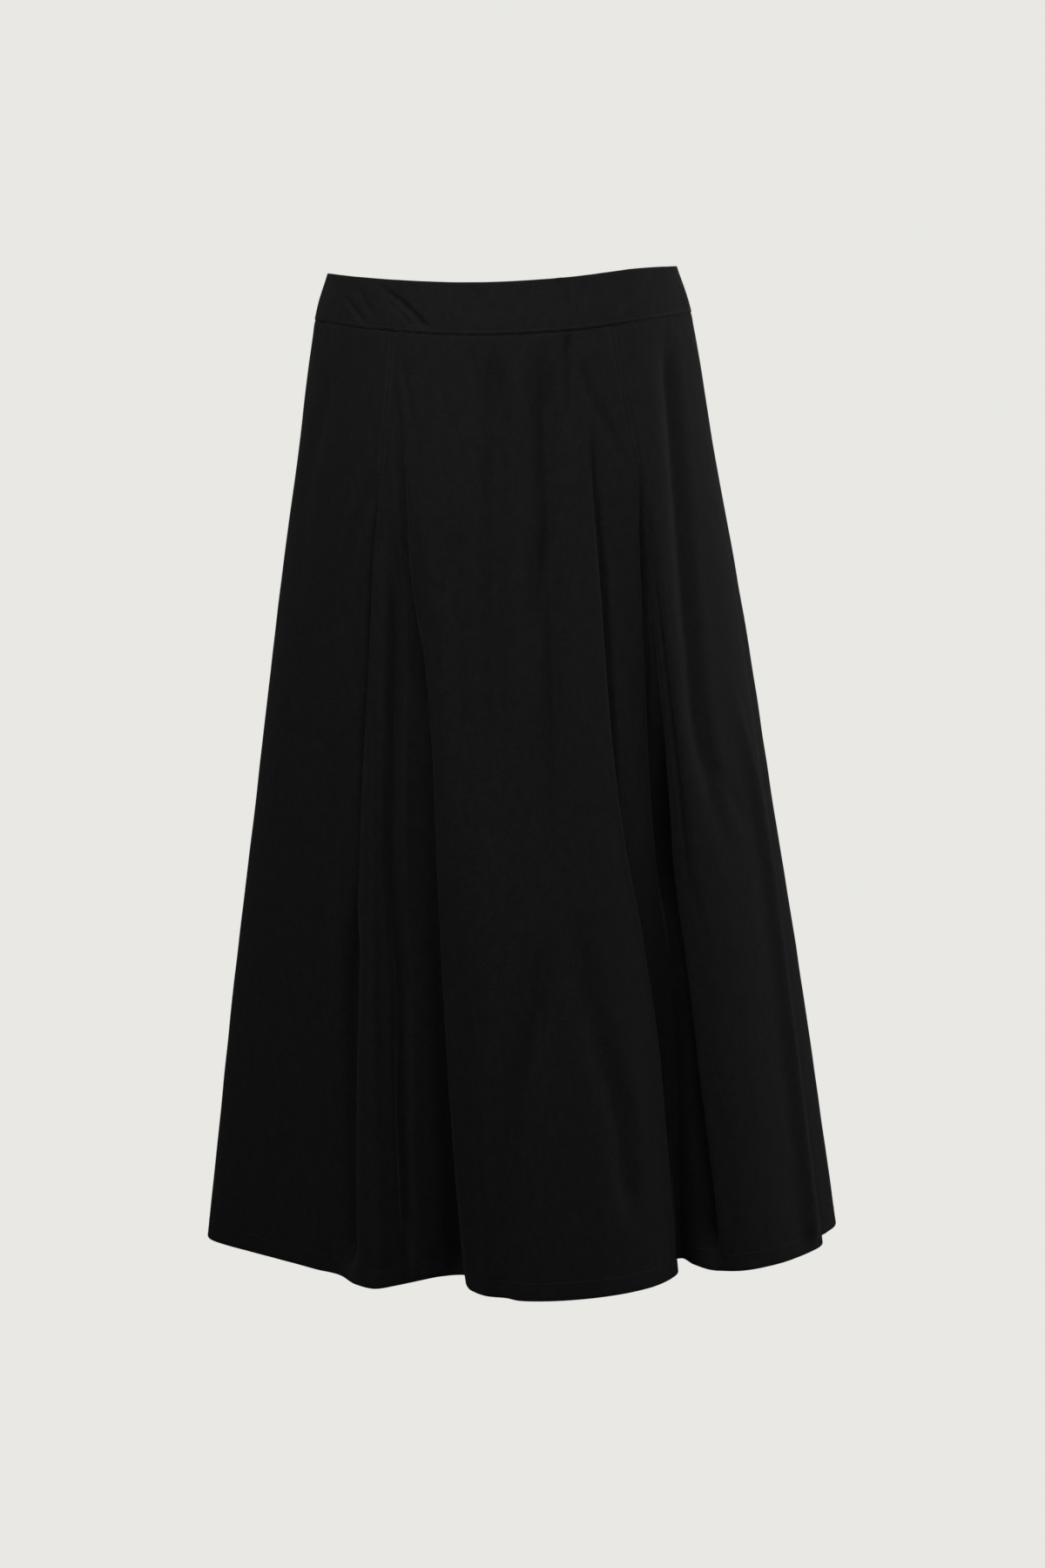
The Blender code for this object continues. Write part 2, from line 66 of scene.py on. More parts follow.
# Fold lines in order round the skirt, as in the solids, in millimetres: their distance to the
# wearer's left at the waist seam, the release level and the hem, and how far in front of the
# side seams, or behind them, each ends on the hem. step is a column's width there, in metres.
MM_IN_METRE = 1000
WIDE = 0.0036
NARROW = 0.0017
Fold = namedtuple("Fold", "name seam_x release_x hem_x hem_out step")
FRONT_FOLDS = (
    Fold("right_side_seam", -148, -166.2, -256.2, 0, WIDE),
    Fold("right_corner", -147, -165, -252.5, 19, WIDE),
    Fold("right_side_flat", -133, -150, -216, 61, WIDE),
    Fold("right_front_flat", -106, -121, -164, 114, NARROW),
    Fold("right_pleat_outer_edge", -87, -99, -144, 132, NARROW),
    Fold("right_pleat_flank", -86.6, -98.5, -130, 161, NARROW),
    Fold("right_pleat_crest", -86, -97.8, -114, 175, NARROW),
    Fold("right_pleat_inner_edge", -85, -96, -96, 166, NARROW),
    Fold("right_second_crest", -84.5, -89, -84, 158, NARROW),
    Fold("main_valley", -80, -77, -64, 145, NARROW),
    Fold("main_valley_wall", -77, -72, -47, 151, NARROW),
    Fold("centre_lobe_right_edge", -73, -67, -40, 184, WIDE),
    Fold("centre_lobe_right", -60, -55, -20, 209, WIDE),
    Fold("centre_lobe_crest", -15, -10, 17, 219.5, WIDE),
    Fold("centre_lobe_left", 15, 25, 60, 211, WIDE),
    Fold("centre_lobe_left_turn", 45, 56, 100, 186, NARROW),
    Fold("centre_lobe_left_edge", 60.7, 72, 119, 154, NARROW),
    Fold("deep_recess_wall", 70, 80, 121.2, 130, NARROW),
    Fold("left_pleat_inner_edge", 84.6, 103, 121, 107, NARROW),
    Fold("left_pleat_valley", 85.1, 103.7, 126.2, 104, NARROW),
    Fold("left_pleat_rise", 86, 105, 135.5, 124, NARROW),
    Fold("left_pleat_turn", 86.5, 105.7, 150, 141, NARROW),
    Fold("left_pleat_outer_edge", 87, 106.4, 170, 144.5, WIDE),
    Fold("left_front_flat", 108, 123, 198, 129, WIDE),
    Fold("left_soft_valley", 127, 135, 218, 108, WIDE),
    Fold("left_rim", 140, 154, 234, 86, WIDE),
    Fold("left_rim_edge", 144.5, 161, 240.8, 68, WIDE),
    Fold("left_tuck", 146.2, 163.5, 237.8, 53, WIDE),
    Fold("left_side_strip", 147, 164.8, 246, 36, WIDE),
    Fold("left_corner", 147.7, 165.8, 254.5, 16, WIDE),
)
BACK_FOLDS = (
    Fold("left_side_seam", 148, 166.2, 256.2, 0, WIDE),
    Fold("left_back_side", 144, 162, 248, 35, WIDE),
    Fold("left_back_valley", 127, 143, 213, 78, WIDE),
    Fold("left_back_crest", 104, 119, 184, 132, WIDE),
    Fold("left_back_crest_turn", 85, 97, 144, 152, WIDE),
    Fold("left_back_inner_valley", 59, 67, 105, 156, WIDE),
    Fold("left_back_middle_crest", 36, 41, 68, 193, WIDE),
    Fold("left_back_middle_turn", 19, 22, 33, 203, WIDE),
    Fold("centre_back_seam", 0, 0, 0, 196, WIDE),
    Fold("right_back_middle_turn", -20, -23, -36, 192, WIDE),
    Fold("right_back_middle_crest", -40, -46, -73, 197, WIDE),
    Fold("right_back_inner_turn", -59, -67, -109, 180, WIDE),
    Fold("right_back_inner_valley", -83, -95, -137, 144, WIDE),
    Fold("right_back_crest", -108, -123, -183, 138, WIDE),
    Fold("right_back_crest_turn", -127, -144, -216, 103, WIDE),
    Fold("right_back_valley", -140, -158, -236, 56, WIDE),
    Fold("right_back_side", -146, -164, -253, 26, WIDE),
)
SEAMS = ("right_side_seam", "left_side_seam", "centre_back_seam")

# Cloth
CLOTH_THICKNESS = 0.0007
HEM_THICKNESS = 0.0019
HEM_DEPTH = 0.0140
HEM_STEP = 0.0008
BAND_THICKNESS = 0.0016
BAND_PROUD = 0.0003
BAND_TUCK = 0.0060
EDGE_STEPS = 3
ROWS_BELOW_BAND = (0.0, 0.0009, 0.0020, 0.0034)
FIRST_EVEN_ROW = 0.0050
ROW_STEP = 0.0068
HEM_ROW_START = 0.0040
HEM_ROWS = 4
BAND_ROW_STEP = 0.0020
SEAM_COLUMNS = (0.0005, 0.0012, 0.0022)
NEAREST_COLUMN_SHARE = 0.8
SEAM_DIP = 0.0009
SEAM_SOFTNESS = 0.0013
FOLD_SOFTNESS = 0.0050
RELEASE_SOFTNESS = 0.0200
TRACE_STEP = 0.0005
POINTS_PER_FOLD = 60
PATH_ROUNDING_PASSES = 6
TINY = 1e-9
ROW_TOLERANCE = 1e-6

# Creases that run down the cloth, as troughs (depth above 0) or ridges (depth below 0), in
# millimetres. The path gives x and drop along the crease's middle, from the top down. before
# and after are the level half widths of its two walls, before the path and after it on the way
# round to the wearer's left over the front. fade_in and fade_out are the lengths at the path's
# two ends over which the crease grows and dies away.
Crease = namedtuple("Crease", "name before after depth fade_in fade_out path")
FRONT_CREASES = (
    Crease("right_pleat_outer_line", 4.2, 2, 4.6, 30, 50,
           ((-98.6, 116), (-103.4, 160), (-105.4, 184), (-110.8, 268), (-117.4, 336), (-120.5, 412),
            (-125.5, 460), (-130, 500))),
    Crease("right_pleat_inner_line", 5.2, 4.4, 8.2, 100, 60,
           ((-90.5, 130), (-86, 192), (-88.5, 276), (-93, 408), (-88, 492), (-89.5, 608), (-86, 725))),
    Crease("right_pleat_start_line", 2, 1.4, 1.4, 10, 50, ((-98.2, 122), (-96.6, 150), (-95.8, 200))),
    Crease("right_broad_band", 6.2, 14.5, 10.5, 90, 30,
           ((-124.5, 420), (-131, 490), (-132.8, 540), (-135, 620), (-137.2, 727))),
    Crease("main_valley_line", 4, 2.4, 5.6, 100, 180,
           ((-84.5, 20), (-80.5, 76), (-78.8, 116), (-77.6, 184), (-71, 264), (-66.2, 312),
            (-63.6, 408), (-60, 480))),
    Crease("main_valley_trough", 10.5, 10, 15, 260, 30,
           ((-79, 130), (-72.4, 264), (-68.6, 312), (-65, 408), (-61.2, 488), (-56.8, 572),
            (-52.2, 656), (-50, 745))),
    Crease("main_valley_shoulder", 9, 13, 3, 140, 60,
           ((-68, 130), (-59, 300), (-53, 408), (-48, 488), (-43, 572), (-37, 656), (-34, 745))),
    Crease("beside_right_stitches", 4, 2.8, 1.5, 20, 50, ((-80, 12), (-74.2, 45), (-66.8, 95))),
    Crease("centre_lobe_left_line", 3.4, 2.4, 4.8, 60, 140,
           ((65.5, 60), (68, 92), (70, 132), (73.5, 172), (76.4, 212), (78.4, 264), (81.5, 312),
            (85.8, 364), (91.5, 416))),
    Crease("centre_lobe_left_slope", 5, 14, 3, 100, 140,
           ((68, 80), (72, 150), (79, 264), (88, 364), (95, 430))),
    Crease("centre_lobe_left_step", 3.4, 15, 12, 240, 30,
           ((76.4, 250), (82, 330), (90.5, 400), (99.5, 452), (110.8, 556), (120.5, 727))),
    Crease("recess_floor", 8.8, 5, 18.5, 200, 30,
           ((108.2, 230), (109.5, 256), (114.8, 336), (120, 408), (124.6, 455), (130, 510),
            (136, 586), (143, 652), (149.5, 727))),
    Crease("recess_slope", 11, 8, 12, 120, 30, ((127.5, 510), (132.5, 586), (138, 652), (142, 727))),
    Crease("left_pleat_inner_line", 2.6, 1.6, 8, 90, 100,
           ((103.6, 100), (104, 150), (106, 228), (110.6, 310), (115.4, 420))),
    Crease("left_pleat_outer_line", 2.6, 2, 5.4, 40, 120,
           ((107.2, 128), (111, 164), (115.6, 216), (121.3, 264), (126.3, 316), (131.8, 364),
            (135.7, 416), (142, 456), (150.9, 495))),
    Crease("left_soft_valley_trough", 10, 8, 6, 50, 140,
           ((124.5, 2), (129, 48), (131.5, 88), (135, 156), (138, 208), (141.2, 248), (145.5, 308),
            (156, 368), (173, 430))),
    Crease("left_pinch", 8, 6.6, 1.1, 20, 20, ((142.5, 318), (159, 346), (174, 366), (180, 392))),
    Crease("left_rim_ridge", 10, 3.4, -6, 120, 20,
           ((170, 260), (188, 345), (201, 430), (211.5, 520), (223, 620), (233, 727))),
    Crease("centre_trough", 10, 7.6, 6.6, 40, 200,
           ((-6.2, 4), (-6, 76), (-9.5, 156), (-11.2, 220), (-11, 440))),
    Crease("left_of_centre_trough", 10, 7.6, 8, 50, 220,
           ((29, 4), (31.6, 76), (33, 156), (34.4, 272), (35.2, 490))),
    Crease("left_of_centre_branch", 7, 5, 3, 40, 80, ((33.2, 130), (24.5, 180), (17.5, 270))),
    Crease("short_trough_left", 5, 3.6, 3, 8, 50, ((48.6, 1), (50, 40), (51, 95))),
    Crease("diagonal_to_left_stitches", 5, 3.4, 2.4, 20, 40, ((56.5, 20), (71, 60), (85, 88), (93, 112))),
    Crease("short_trough_right", 4.6, 3.4, 1.8, 10, 30, ((-22.5, 6), (-23.8, 48), (-26.2, 80))),
    Crease("right_of_centre_trough", 9, 7, 4, 60, 140, ((-38, 120), (-40, 240), (-37, 400))),
    Crease("lower_right_trough", 12, 9, 6.6, 80, 0,
           ((29, 440), (16.5, 520), (4.5, 568), (-3.5, 620), (-15, 727))),
    Crease("lower_left_trough", 11, 8.5, 5, 70, 50, ((47, 430), (57, 512), (77.5, 588), (88, 690))),
    Crease("right_hip_dent", 13, 11, 2, 30, 100,
           ((-135.5, 24), (-137.2, 56), (-145, 80), (-151.5, 100), (-158, 130), (-164, 230))),
    Crease("right_release_drag", 5, 7, 2.4, 12, 80,
           ((-100, 110), (-109, 135), (-119, 160), (-127, 200), (-131.5, 280))),
    Crease("right_flat_trough", 9, 7, 2.4, 60, 120, ((-133, 300), (-142, 400), (-152, 520))),
)
BACK_CREASES = (
    Crease("left_back_hip_trough", 10, 6.6, 4.4, 40, 160, ((110, 4), (118, 140), (129, 300), (140, 440))),
    Crease("left_back_short_trough", 5.4, 4, 2.4, 10, 60, ((70, 2), (74, 60), (79, 130))),
    Crease("left_back_inner_trough", 9, 6.4, 7, 160, 0, ((64, 120), (76, 300), (92, 520), (106, 727))),
    Crease("left_of_back_seam_trough", 8.5, 6, 3, 30, 180, ((20, 6), (24, 150), (30, 330), (32, 470))),
    Crease("left_back_low_trough", 10, 8, 5.6, 120, 0, ((148, 470), (156, 600), (160, 727))),
    Crease("right_of_back_seam_trough", 7, 5, 2.6, 20, 120, ((-15, 2), (-20, 110), (-24, 240))),
    Crease("right_back_middle_trough", 10, 7, 4.6, 50, 180,
           ((-48, 10), (-60, 170), (-76, 360), (-82, 520))),
    Crease("right_back_hip_trough", 10, 7, 4.8, 30, 140,
           ((-98, 4), (-109, 140), (-124, 290), (-137, 400))),
    Crease("right_back_short_trough", 5, 3.6, 2.2, 10, 40, ((-124, 6), (-130, 80))),
    Crease("right_back_low_trough", 11, 9, 6, 120, 0, ((-50, 450), (-56, 600), (-56, 727))),
    Crease("right_back_side_trough", 9.5, 7.5, 4, 80, 100, ((-180, 300), (-201, 450), (-217, 620))),
)
BAND_FRONT_CREASES = (
    Crease("right_front_drag", 5.6, 2.8, 2.6, 12, 5, ((-96, -37), (-78, -24), (-67, -14), (-56.5, -2))),
    Crease("right_front_thin_drag", 2.6, 1.8, 1.4, 8, 5, ((-94.5, -29), (-81, -17), (-65.5, -1))),
    Crease("right_end_drag", 3.4, 2.2, 1.8, 6, 5, ((-123.5, -26), (-114, -14), (-103, -1))),
    Crease("right_end_second_drag", 3, 2.4, 0.9, 6, 6, ((-113, -34), (-105, -20), (-96, -6))),
    Crease("centre_dent", 10, 8, 1.2, 12, 12, ((-20, -42), (-19, -28), (-18, -8))),
    Crease("left_front_dent", 3.4, 2.4, 1.2, 6, 10, ((42, -42), (45, -31), (51, -12))),
    Crease("left_middle_dent", 4.4, 3, 0.8, 6, 10, ((64, -36), (61, -20), (57, -6))),
    Crease("left_end_dent", 6, 4.4, 1, 10, 10, ((98, -40), (93, -22), (88, -6))),
)
BAND_BACK_CREASES = (
    Crease("left_back_drag", 4.4, 2.8, 1.8, 8, 8, ((70, -34), (82, -18), (90, -3))),
    Crease("left_back_thin_drag", 2.6, 1.8, 1, 8, 6, ((56, -30), (66, -16), (73, -2))),
    Crease("right_back_drag", 4, 2.6, 1.6, 8, 8, ((-93, -32), (-80, -15), (-73, -2))),
    Crease("right_back_dent", 7, 5, 1, 10, 10, ((-38, -40), (-40, -22), (-43, -4))),
)

# A crease's low lips: their height as a share of its depth, and their place and width in half
# widths of its walls
LIP_SHARE = 0.06
LIP_PLACE = 2.1
LIP_WIDTH = 0.9

# Uneven surface: broad soft waves that run down the cloth, and a fine crumple
WAVE_ACROSS = 0.055
WAVE_DOWN = 0.240
WAVE_HEIGHT = 0.0016
CRUMPLE_SIZE = 0.018
CRUMPLE_HEIGHT = 0.00030
BAND_CRUMPLE_SIZE = 0.011
BAND_CRUMPLE_HEIGHT = 0.00040
CRUMPLE_STRETCH = 0.6

# Puckers along the rows of stitches, whose pitch drifts and whose height swells along the row
PUCKER_PITCH = 0.0105
PUCKER_HEIGHT = 0.00030
PUCKER_REACH = 0.0090
PUCKER_DRIFT = 1.7
PUCKER_DRIFT_LENGTH = 0.037
PUCKER_SWELL = 0.4
PUCKER_SWELL_LENGTH = 0.061
WAIST_PHASE = 0.4
HEM_PHASE = 1.9
BAND_PHASE = 2.6
HEM_PUCKER_SHARE = 0.7
BAND_PUCKER_SHARE = 0.6
WAIST_SINK = 0.0004
WAIST_SINK_REACH = 0.0020

# The waist of the worn skirt rides up a little on the left of the front
WAIST_LIFT = 0.0030
LIFT_ANGLE = 0.78
LIFT_SPREAD = 0.50
LIFT_DEPTH = 0.0450

# Stitches. STITCH_SHAPE gives the rings of one stitch: their place along it, how high they
# lie in thread radii, and their size.
STITCH_PITCH = 0.0027
STITCH_LENGTH = 0.0021
BAND_THREAD = 0.00023
PLEAT_THREAD = 0.00016
HEM_THREAD = 0.00012
STITCH_SIDES = 6
STITCH_SHAPE = ((-0.50, -1.0, 0.55), (-0.42, 0.1, 0.95), (-0.20, 0.6, 1.0), (0.20, 0.6, 1.0),
                (0.42, 0.1, 0.95), (0.50, -1.0, 0.55))
WAIST_ROW_UP = 0.0024
HEM_ROW_UP = 0.0132
TWIN_GAP = 0.0042
PLEAT_STITCHES = (
    ("right_pleat_stitches", "front", ((-0.0845, 0.002), (-0.0900, 0.050), (-0.0963, 0.110))),
    ("left_pleat_stitches", "front", ((0.0822, 0.002), (0.0912, 0.055), (0.1012, 0.110))),
)

# Pleat layers behind the front, and the zip behind the centre back seam
INTAKE_HALF_WIDTH = 0.0185
INTAKE_THICKNESS = 0.0014
INTAKE_COLUMNS = 19
PRESS_SHARE = 0.4
PRESS_WIDTH = 0.0025
LAYER_GAP = 0.0003
TAPE_TOP = -0.0350
TAPE_END = 0.1440
TAPE_HALF_WIDTH = 0.0110
TAPE_THICKNESS = 0.0005
TAPE_COLUMNS = 15
TAPE_BELOW_BAND = 0.0030
TAPE_RIDGE = 0.0004
TAPE_RIDGE_WIDTH = 0.0016
COIL_PITCH = 0.0014
COIL_HALF_WIDTH = 0.0021
COIL_HALF_HEIGHT = 0.0006
COIL_WIRE = 0.0003
COIL_TURN_POINTS = 12
ALLOWANCE_TOP = 0.0040
ALLOWANCE_ABOVE_HEM = 0.0020
ALLOWANCE_WIDTH = 0.0110
ALLOWANCE_COLUMNS = 6
ALLOWANCE_THICKNESS = 0.0006
ALLOWANCE_CURL = 0.0009
OVERLOCK_PITCH = 0.0030
OVERLOCK_WIDTH = 0.0040
OVERLOCK_COLUMN = 2
OVERLOCK_RADIUS = 0.00016
TUBE_SIDES = 5


# Form of the cloth


def smooth_step(share):
    """0 to 1, with a soft start and a soft end."""
    share = np.clip(share, 0.0, 1.0)
    return share * share * (3 - 2 * share)


def ring_at(drop):
    """The ring's sizes at any drop, on a smooth line through the table's rings."""
    last = len(RINGS) - 2
    i = max(k for k in range(last + 1) if k == 0 or RINGS[k].drop <= drop)
    above, below = RINGS[i], RINGS[i + 1]
    before, after = RINGS[max(i - 1, 0)], RINGS[min(i + 2, last + 1)]
    span = below.drop - above.drop
    t = (drop - above.drop) / span
    sizes = []
    for column in range(2, len(Ring._fields)):
        slope_above = (below[column] - before[column]) / (below.drop - before.drop)
        slope_below = (after[column] - above[column]) / (after.drop - above.drop)
        sizes.append(
            (2 * t**3 - 3 * t**2 + 1) * above[column]
            + (t**3 - 2 * t**2 + t) * span * slope_above
            + (3 * t**2 - 2 * t**3) * below[column]
            + (t**3 - t**2) * span * slope_below
        )
    return sizes


def form_points(angles, drop):
    """Points of the plain form. Angle 0 is the centre front, and it grows to the wearer's left."""
    half_width, front, back, side_rise, back_rise = ring_at(drop)
    on_front = np.cos(angles) >= 0
    reach = np.where(on_front, front, back)
    middle_rise = np.where(on_front, 0.0, back_rise)
    rise = middle_rise + (side_rise - middle_rise) * np.sin(angles) ** 2
    return np.stack(
        [half_width * np.sin(angles), -reach * np.cos(angles), SEAM_Z - drop + rise], axis=-1
    )


def angle_of(x, half_width, on_back):
    """The angle where a ring has this x, on its front or its back."""
    angle = math.asin(max(-1.0, min(1.0, x / half_width)))
    return math.pi - angle if on_back else angle


def curve_between(corners, shares):
    """Points between the middle two of four corners, on the smooth curve through them all."""
    before, start, end, after = corners
    t1 = math.sqrt(np.linalg.norm(start - before))
    t2 = t1 + math.sqrt(np.linalg.norm(end - start))
    t3 = t2 + math.sqrt(np.linalg.norm(after - end))
    t = (t1 + (t2 - t1) * shares)[:, None]
    a1 = before + (start - before) * t / t1
    a2 = start + (end - start) * (t - t1) / (t2 - t1)
    a3 = end + (after - end) * (t - t2) / (t3 - t2)
    b1 = a1 + (a2 - a1) * t / t2
    b2 = a2 + (a3 - a2) * (t - t1) / (t3 - t1)
    return b1 + (b2 - b1) * (t - t1) / (t2 - t1)


def travelled(points, axis=0):
    """The way along a line of points, or along one direction of a grid, from its start."""
    steps = np.linalg.norm(np.diff(points, axis=axis), axis=-1)
    start = np.zeros_like(steps.take([0], axis))
    return np.concatenate([start, np.cumsum(steps, axis=axis)], axis=axis)


def along(points, travel, where):
    """Points at other distances along a line of points, or of directions."""
    return np.stack([np.interp(where, travel, points[:, k]) for k in range(3)], axis=-1)


def soften_round(values, steps):
    """A closed row of values, averaged with its neighbours over about this many steps."""
    reach = int(3 * steps)
    kernel = np.exp(-0.5 * (np.arange(-reach, reach + 1) / steps) ** 2)
    padded = np.concatenate([values[-reach:], values, values[:reach]])
    return np.convolve(padded, kernel / kernel.sum(), mode="valid")


def trace_hem():
    """The hem at even steps: its points, the three angles of the thread there, and the fold marks."""
    folds = FRONT_FOLDS + BACK_FOLDS
    count = len(folds)
    crossings = []
    hems = []
    for fold in folds:
        on_back = fold in BACK_FOLDS
        xs = [x / MM_IN_METRE for x in (fold.seam_x, fold.release_x, fold.hem_x)]
        levels = zip(xs, (0.0, RELEASE_DROP, HEM_DROP))
        crossings.append([angle_of(x, ring_at(drop)[0], on_back) for x, drop in levels])
        hem_out = fold.hem_out / MM_IN_METRE
        hems.append((xs[-1], hem_out if on_back else -hem_out, SEAM_Z - HEM_DROP))
    crossings.append([angle + 2 * math.pi for angle in crossings[0]])
    crossings = np.array(crossings)
    hems = np.array(hems)
    shares = np.linspace(0.0, 1.0, POINTS_PER_FOLD, endpoint=False)
    points = []
    angles = []
    for i in range(count):
        corners = [hems[(i + k) % count] for k in (-1, 0, 1, 2)]
        points.append(curve_between(corners, shares))
        angles.append(crossings[i] + (crossings[i + 1] - crossings[i]) * shares[:, None])
    points = np.concatenate(points + [hems[:1]])
    angles = np.concatenate(angles + [crossings[-1:]])
    travel = travelled(points)
    marks = {fold.name: travel[i * len(shares)] for i, fold in enumerate(folds)}
    even = np.arange(0.0, travel[-1], TRACE_STEP)
    turn = 2 * math.pi * even / travel[-1]
    soft = [
        soften_round(np.interp(even, travel, angles[:, k]) - turn, FOLD_SOFTNESS / TRACE_STEP) + turn
        for k in range(3)
    ]
    return even, along(points, travel, even), soft, marks, travel[-1]


def column_places(marks, whole):
    """Where the columns meet the hem, in order round it, with narrow ones at the pleats and seams."""
    folds = FRONT_FOLDS + BACK_FOLDS
    starts = [marks[fold.name] for fold in folds] + [whole]
    places = []
    for fold, start, end in zip(folds, starts, starts[1:]):
        steps = max(2, round((end - start) / fold.step))
        places += list(start + (end - start) * np.arange(steps) / steps)
    for seam in SEAMS:
        for step in SEAM_COLUMNS:
            places += [(marks[seam] + step) % whole, (marks[seam] - step) % whole]
    places = np.array(sorted(places))
    seams = np.array([marks[seam] for seam in SEAMS])
    kept = [places[0]]
    for place in places[1:]:
        if place - kept[-1] > SEAM_COLUMNS[0] * NEAREST_COLUMN_SHARE:
            kept.append(place)
        elif np.min(np.abs(seams - place)) < TINY:
            kept[-1] = place
    return np.array(kept)


EVEN, HEM_LINE, THREAD_ANGLES, MARKS, WHOLE_HEM = trace_hem()
COLUMNS = column_places(MARKS, WHOLE_HEM)
COLUMN_ANGLES = [np.interp(COLUMNS, EVEN, row) for row in THREAD_ANGLES]
COLUMN_HEM = along(HEM_LINE, EVEN, COLUMNS)


def column_of(fold_name):
    """The column that runs down this fold line."""
    return int(np.argmin(np.abs(COLUMNS - MARKS[fold_name])))


def released_share(drop):
    """How far a thread has left the plain form at this drop: softly from 0, and 1 at the hem."""
    below = drop - RELEASE_DROP
    soft = RELEASE_SOFTNESS * math.log1p(math.exp(below / RELEASE_SOFTNESS))
    whole = HEM_DROP - RELEASE_DROP
    return soft / (RELEASE_SOFTNESS * math.log1p(math.exp(whole / RELEASE_SOFTNESS)))


def surface(drops):
    """Points of the outer surface, a row for each drop and a column for each place on the hem."""
    seam_angles, release_angles, hem_angles = COLUMN_ANGLES
    offsets = COLUMN_HEM - form_points(hem_angles, HEM_DROP)
    rows = []
    for drop in drops:
        stitched = min(1.0, max(0.0, drop / RELEASE_DROP))
        released = max(0.0, (drop - RELEASE_DROP) / (HEM_DROP - RELEASE_DROP))
        angles = seam_angles + (release_angles - seam_angles) * stitched
        angles = angles + (hem_angles - angles) * released
        rows.append(form_points(angles, drop) + offsets * released_share(drop))
    return np.array(rows)


def outward(points):
    """Unit directions out of a closed ring of columns."""
    across = np.roll(points, -1, axis=1) - np.roll(points, 1, axis=1)
    down = np.gradient(points, axis=0)
    normals = np.cross(down, across)
    return normals / np.linalg.norm(normals, axis=2, keepdims=True)


def side_columns(side):
    """The columns of the front, or of the back."""
    left = column_of("left_side_seam")
    return np.arange(0, left + 1) if side == "front" else np.arange(left, len(COLUMNS))


# Relief of the cloth


def line_on_rows(points, travel, rows, xs, side):
    """How far round each row a line lies that has this x there, followed from row to row."""
    columns = side_columns(side)
    found = []
    near = None
    for row, x in zip(rows, xs):
        offset = points[row, columns, 0] - x
        hits = np.flatnonzero(offset[:-1] * offset[1:] <= 0)
        if len(hits) == 0:
            hits = np.array([min(int(np.argmin(np.abs(offset))), len(columns) - 2)])
        near = hits[0] if near is None else hits[np.argmin(np.abs(hits - near))]
        step = offset[near] - offset[near + 1]
        share = offset[near] / step if abs(step) > TINY else 0.0
        start, end = travel[row, columns[near]], travel[row, columns[near + 1]]
        found.append(start + (end - start) * min(1.0, max(0.0, share)))
    return np.array(found)


def path_on_rows(path, drops):
    """The rows that a path crosses, and its x on each, with its corners rounded."""
    path = np.array(path)
    below_start = drops >= path[0, 1] - ROW_TOLERANCE
    above_end = drops <= path[-1, 1] + ROW_TOLERANCE
    rows = np.flatnonzero(below_start & above_end)
    xs = np.interp(drops[rows], path[:, 1], path[:, 0])
    for _ in range(PATH_ROUNDING_PASSES):
        xs[1:-1] = (xs[:-2] + 2 * xs[1:-1] + xs[2:]) / 4
    return rows, xs


def crease_relief(crease, side, points, travel, drops):
    """How deep one crease lies at each row and column, with a low lip on each side of it."""
    relief = np.zeros(travel.shape)
    path = np.array(crease.path) / MM_IN_METRE
    before, after, depth, fade_in, fade_out = (size / MM_IN_METRE for size in crease[1:-1])
    rows, xs = path_on_rows(path, drops)
    if len(rows) < 3:
        return relief
    line = line_on_rows(points, travel, rows, xs, side)
    weight = np.ones(len(rows))
    if fade_in:
        weight *= smooth_step((drops[rows] - path[0, 1]) / fade_in)
    if fade_out:
        weight *= smooth_step((path[-1, 1] - drops[rows]) / fade_out)
    offset = travel[rows] - line[:, None]
    t = offset / np.where(offset < 0, before, after)
    lips = np.exp(-(((np.abs(t) - LIP_PLACE) / LIP_WIDTH) ** 2))
    relief[rows] = depth * weight[:, None] * (np.exp(-(t**2)) - LIP_SHARE * lips)
    return relief


def seam_relief(points, travel):
    """The groove where two cloth pieces turn in to their seam."""
    relief = np.zeros(travel.shape)
    whole = travel[:, -1:] + np.linalg.norm(points[:, 0] - points[:, -1], axis=1)[:, None]
    for seam in SEAMS:
        away = np.abs(travel - travel[:, [column_of(seam)]])
        away = np.minimum(away, whole - away)
        relief += SEAM_DIP * np.exp(-((away / SEAM_SOFTNESS) ** 2))
    return relief


def uneven_relief(points, crumple_size, crumple_height):
    """Soft waves and a fine crumple, from fixed noise."""
    relief = np.zeros(points.shape[:2])
    for r, row in enumerate(points):
        for c, (x, y, z) in enumerate(row):
            wave = noise.noise(Vector((x / WAVE_ACROSS, y / WAVE_ACROSS, z / WAVE_DOWN)))
            fine = noise.noise(Vector((x, y, z * CRUMPLE_STRETCH)) / crumple_size)
            relief[r, c] = WAVE_HEIGHT * wave + crumple_height * fine
    return relief


def pucker_relief(travel, away, phase):
    """Small gathers along a row of stitches, dying away with the distance from it."""
    drift = PUCKER_DRIFT * np.sin(travel / PUCKER_DRIFT_LENGTH + phase)
    ripple = np.sin(2 * math.pi * travel / PUCKER_PITCH + phase + drift)
    swell = 1 - PUCKER_SWELL + PUCKER_SWELL * np.sin(travel / PUCKER_SWELL_LENGTH + 2 * phase)
    return PUCKER_HEIGHT * ripple * swell * np.exp(-((away / PUCKER_REACH) ** 2))[:, None]


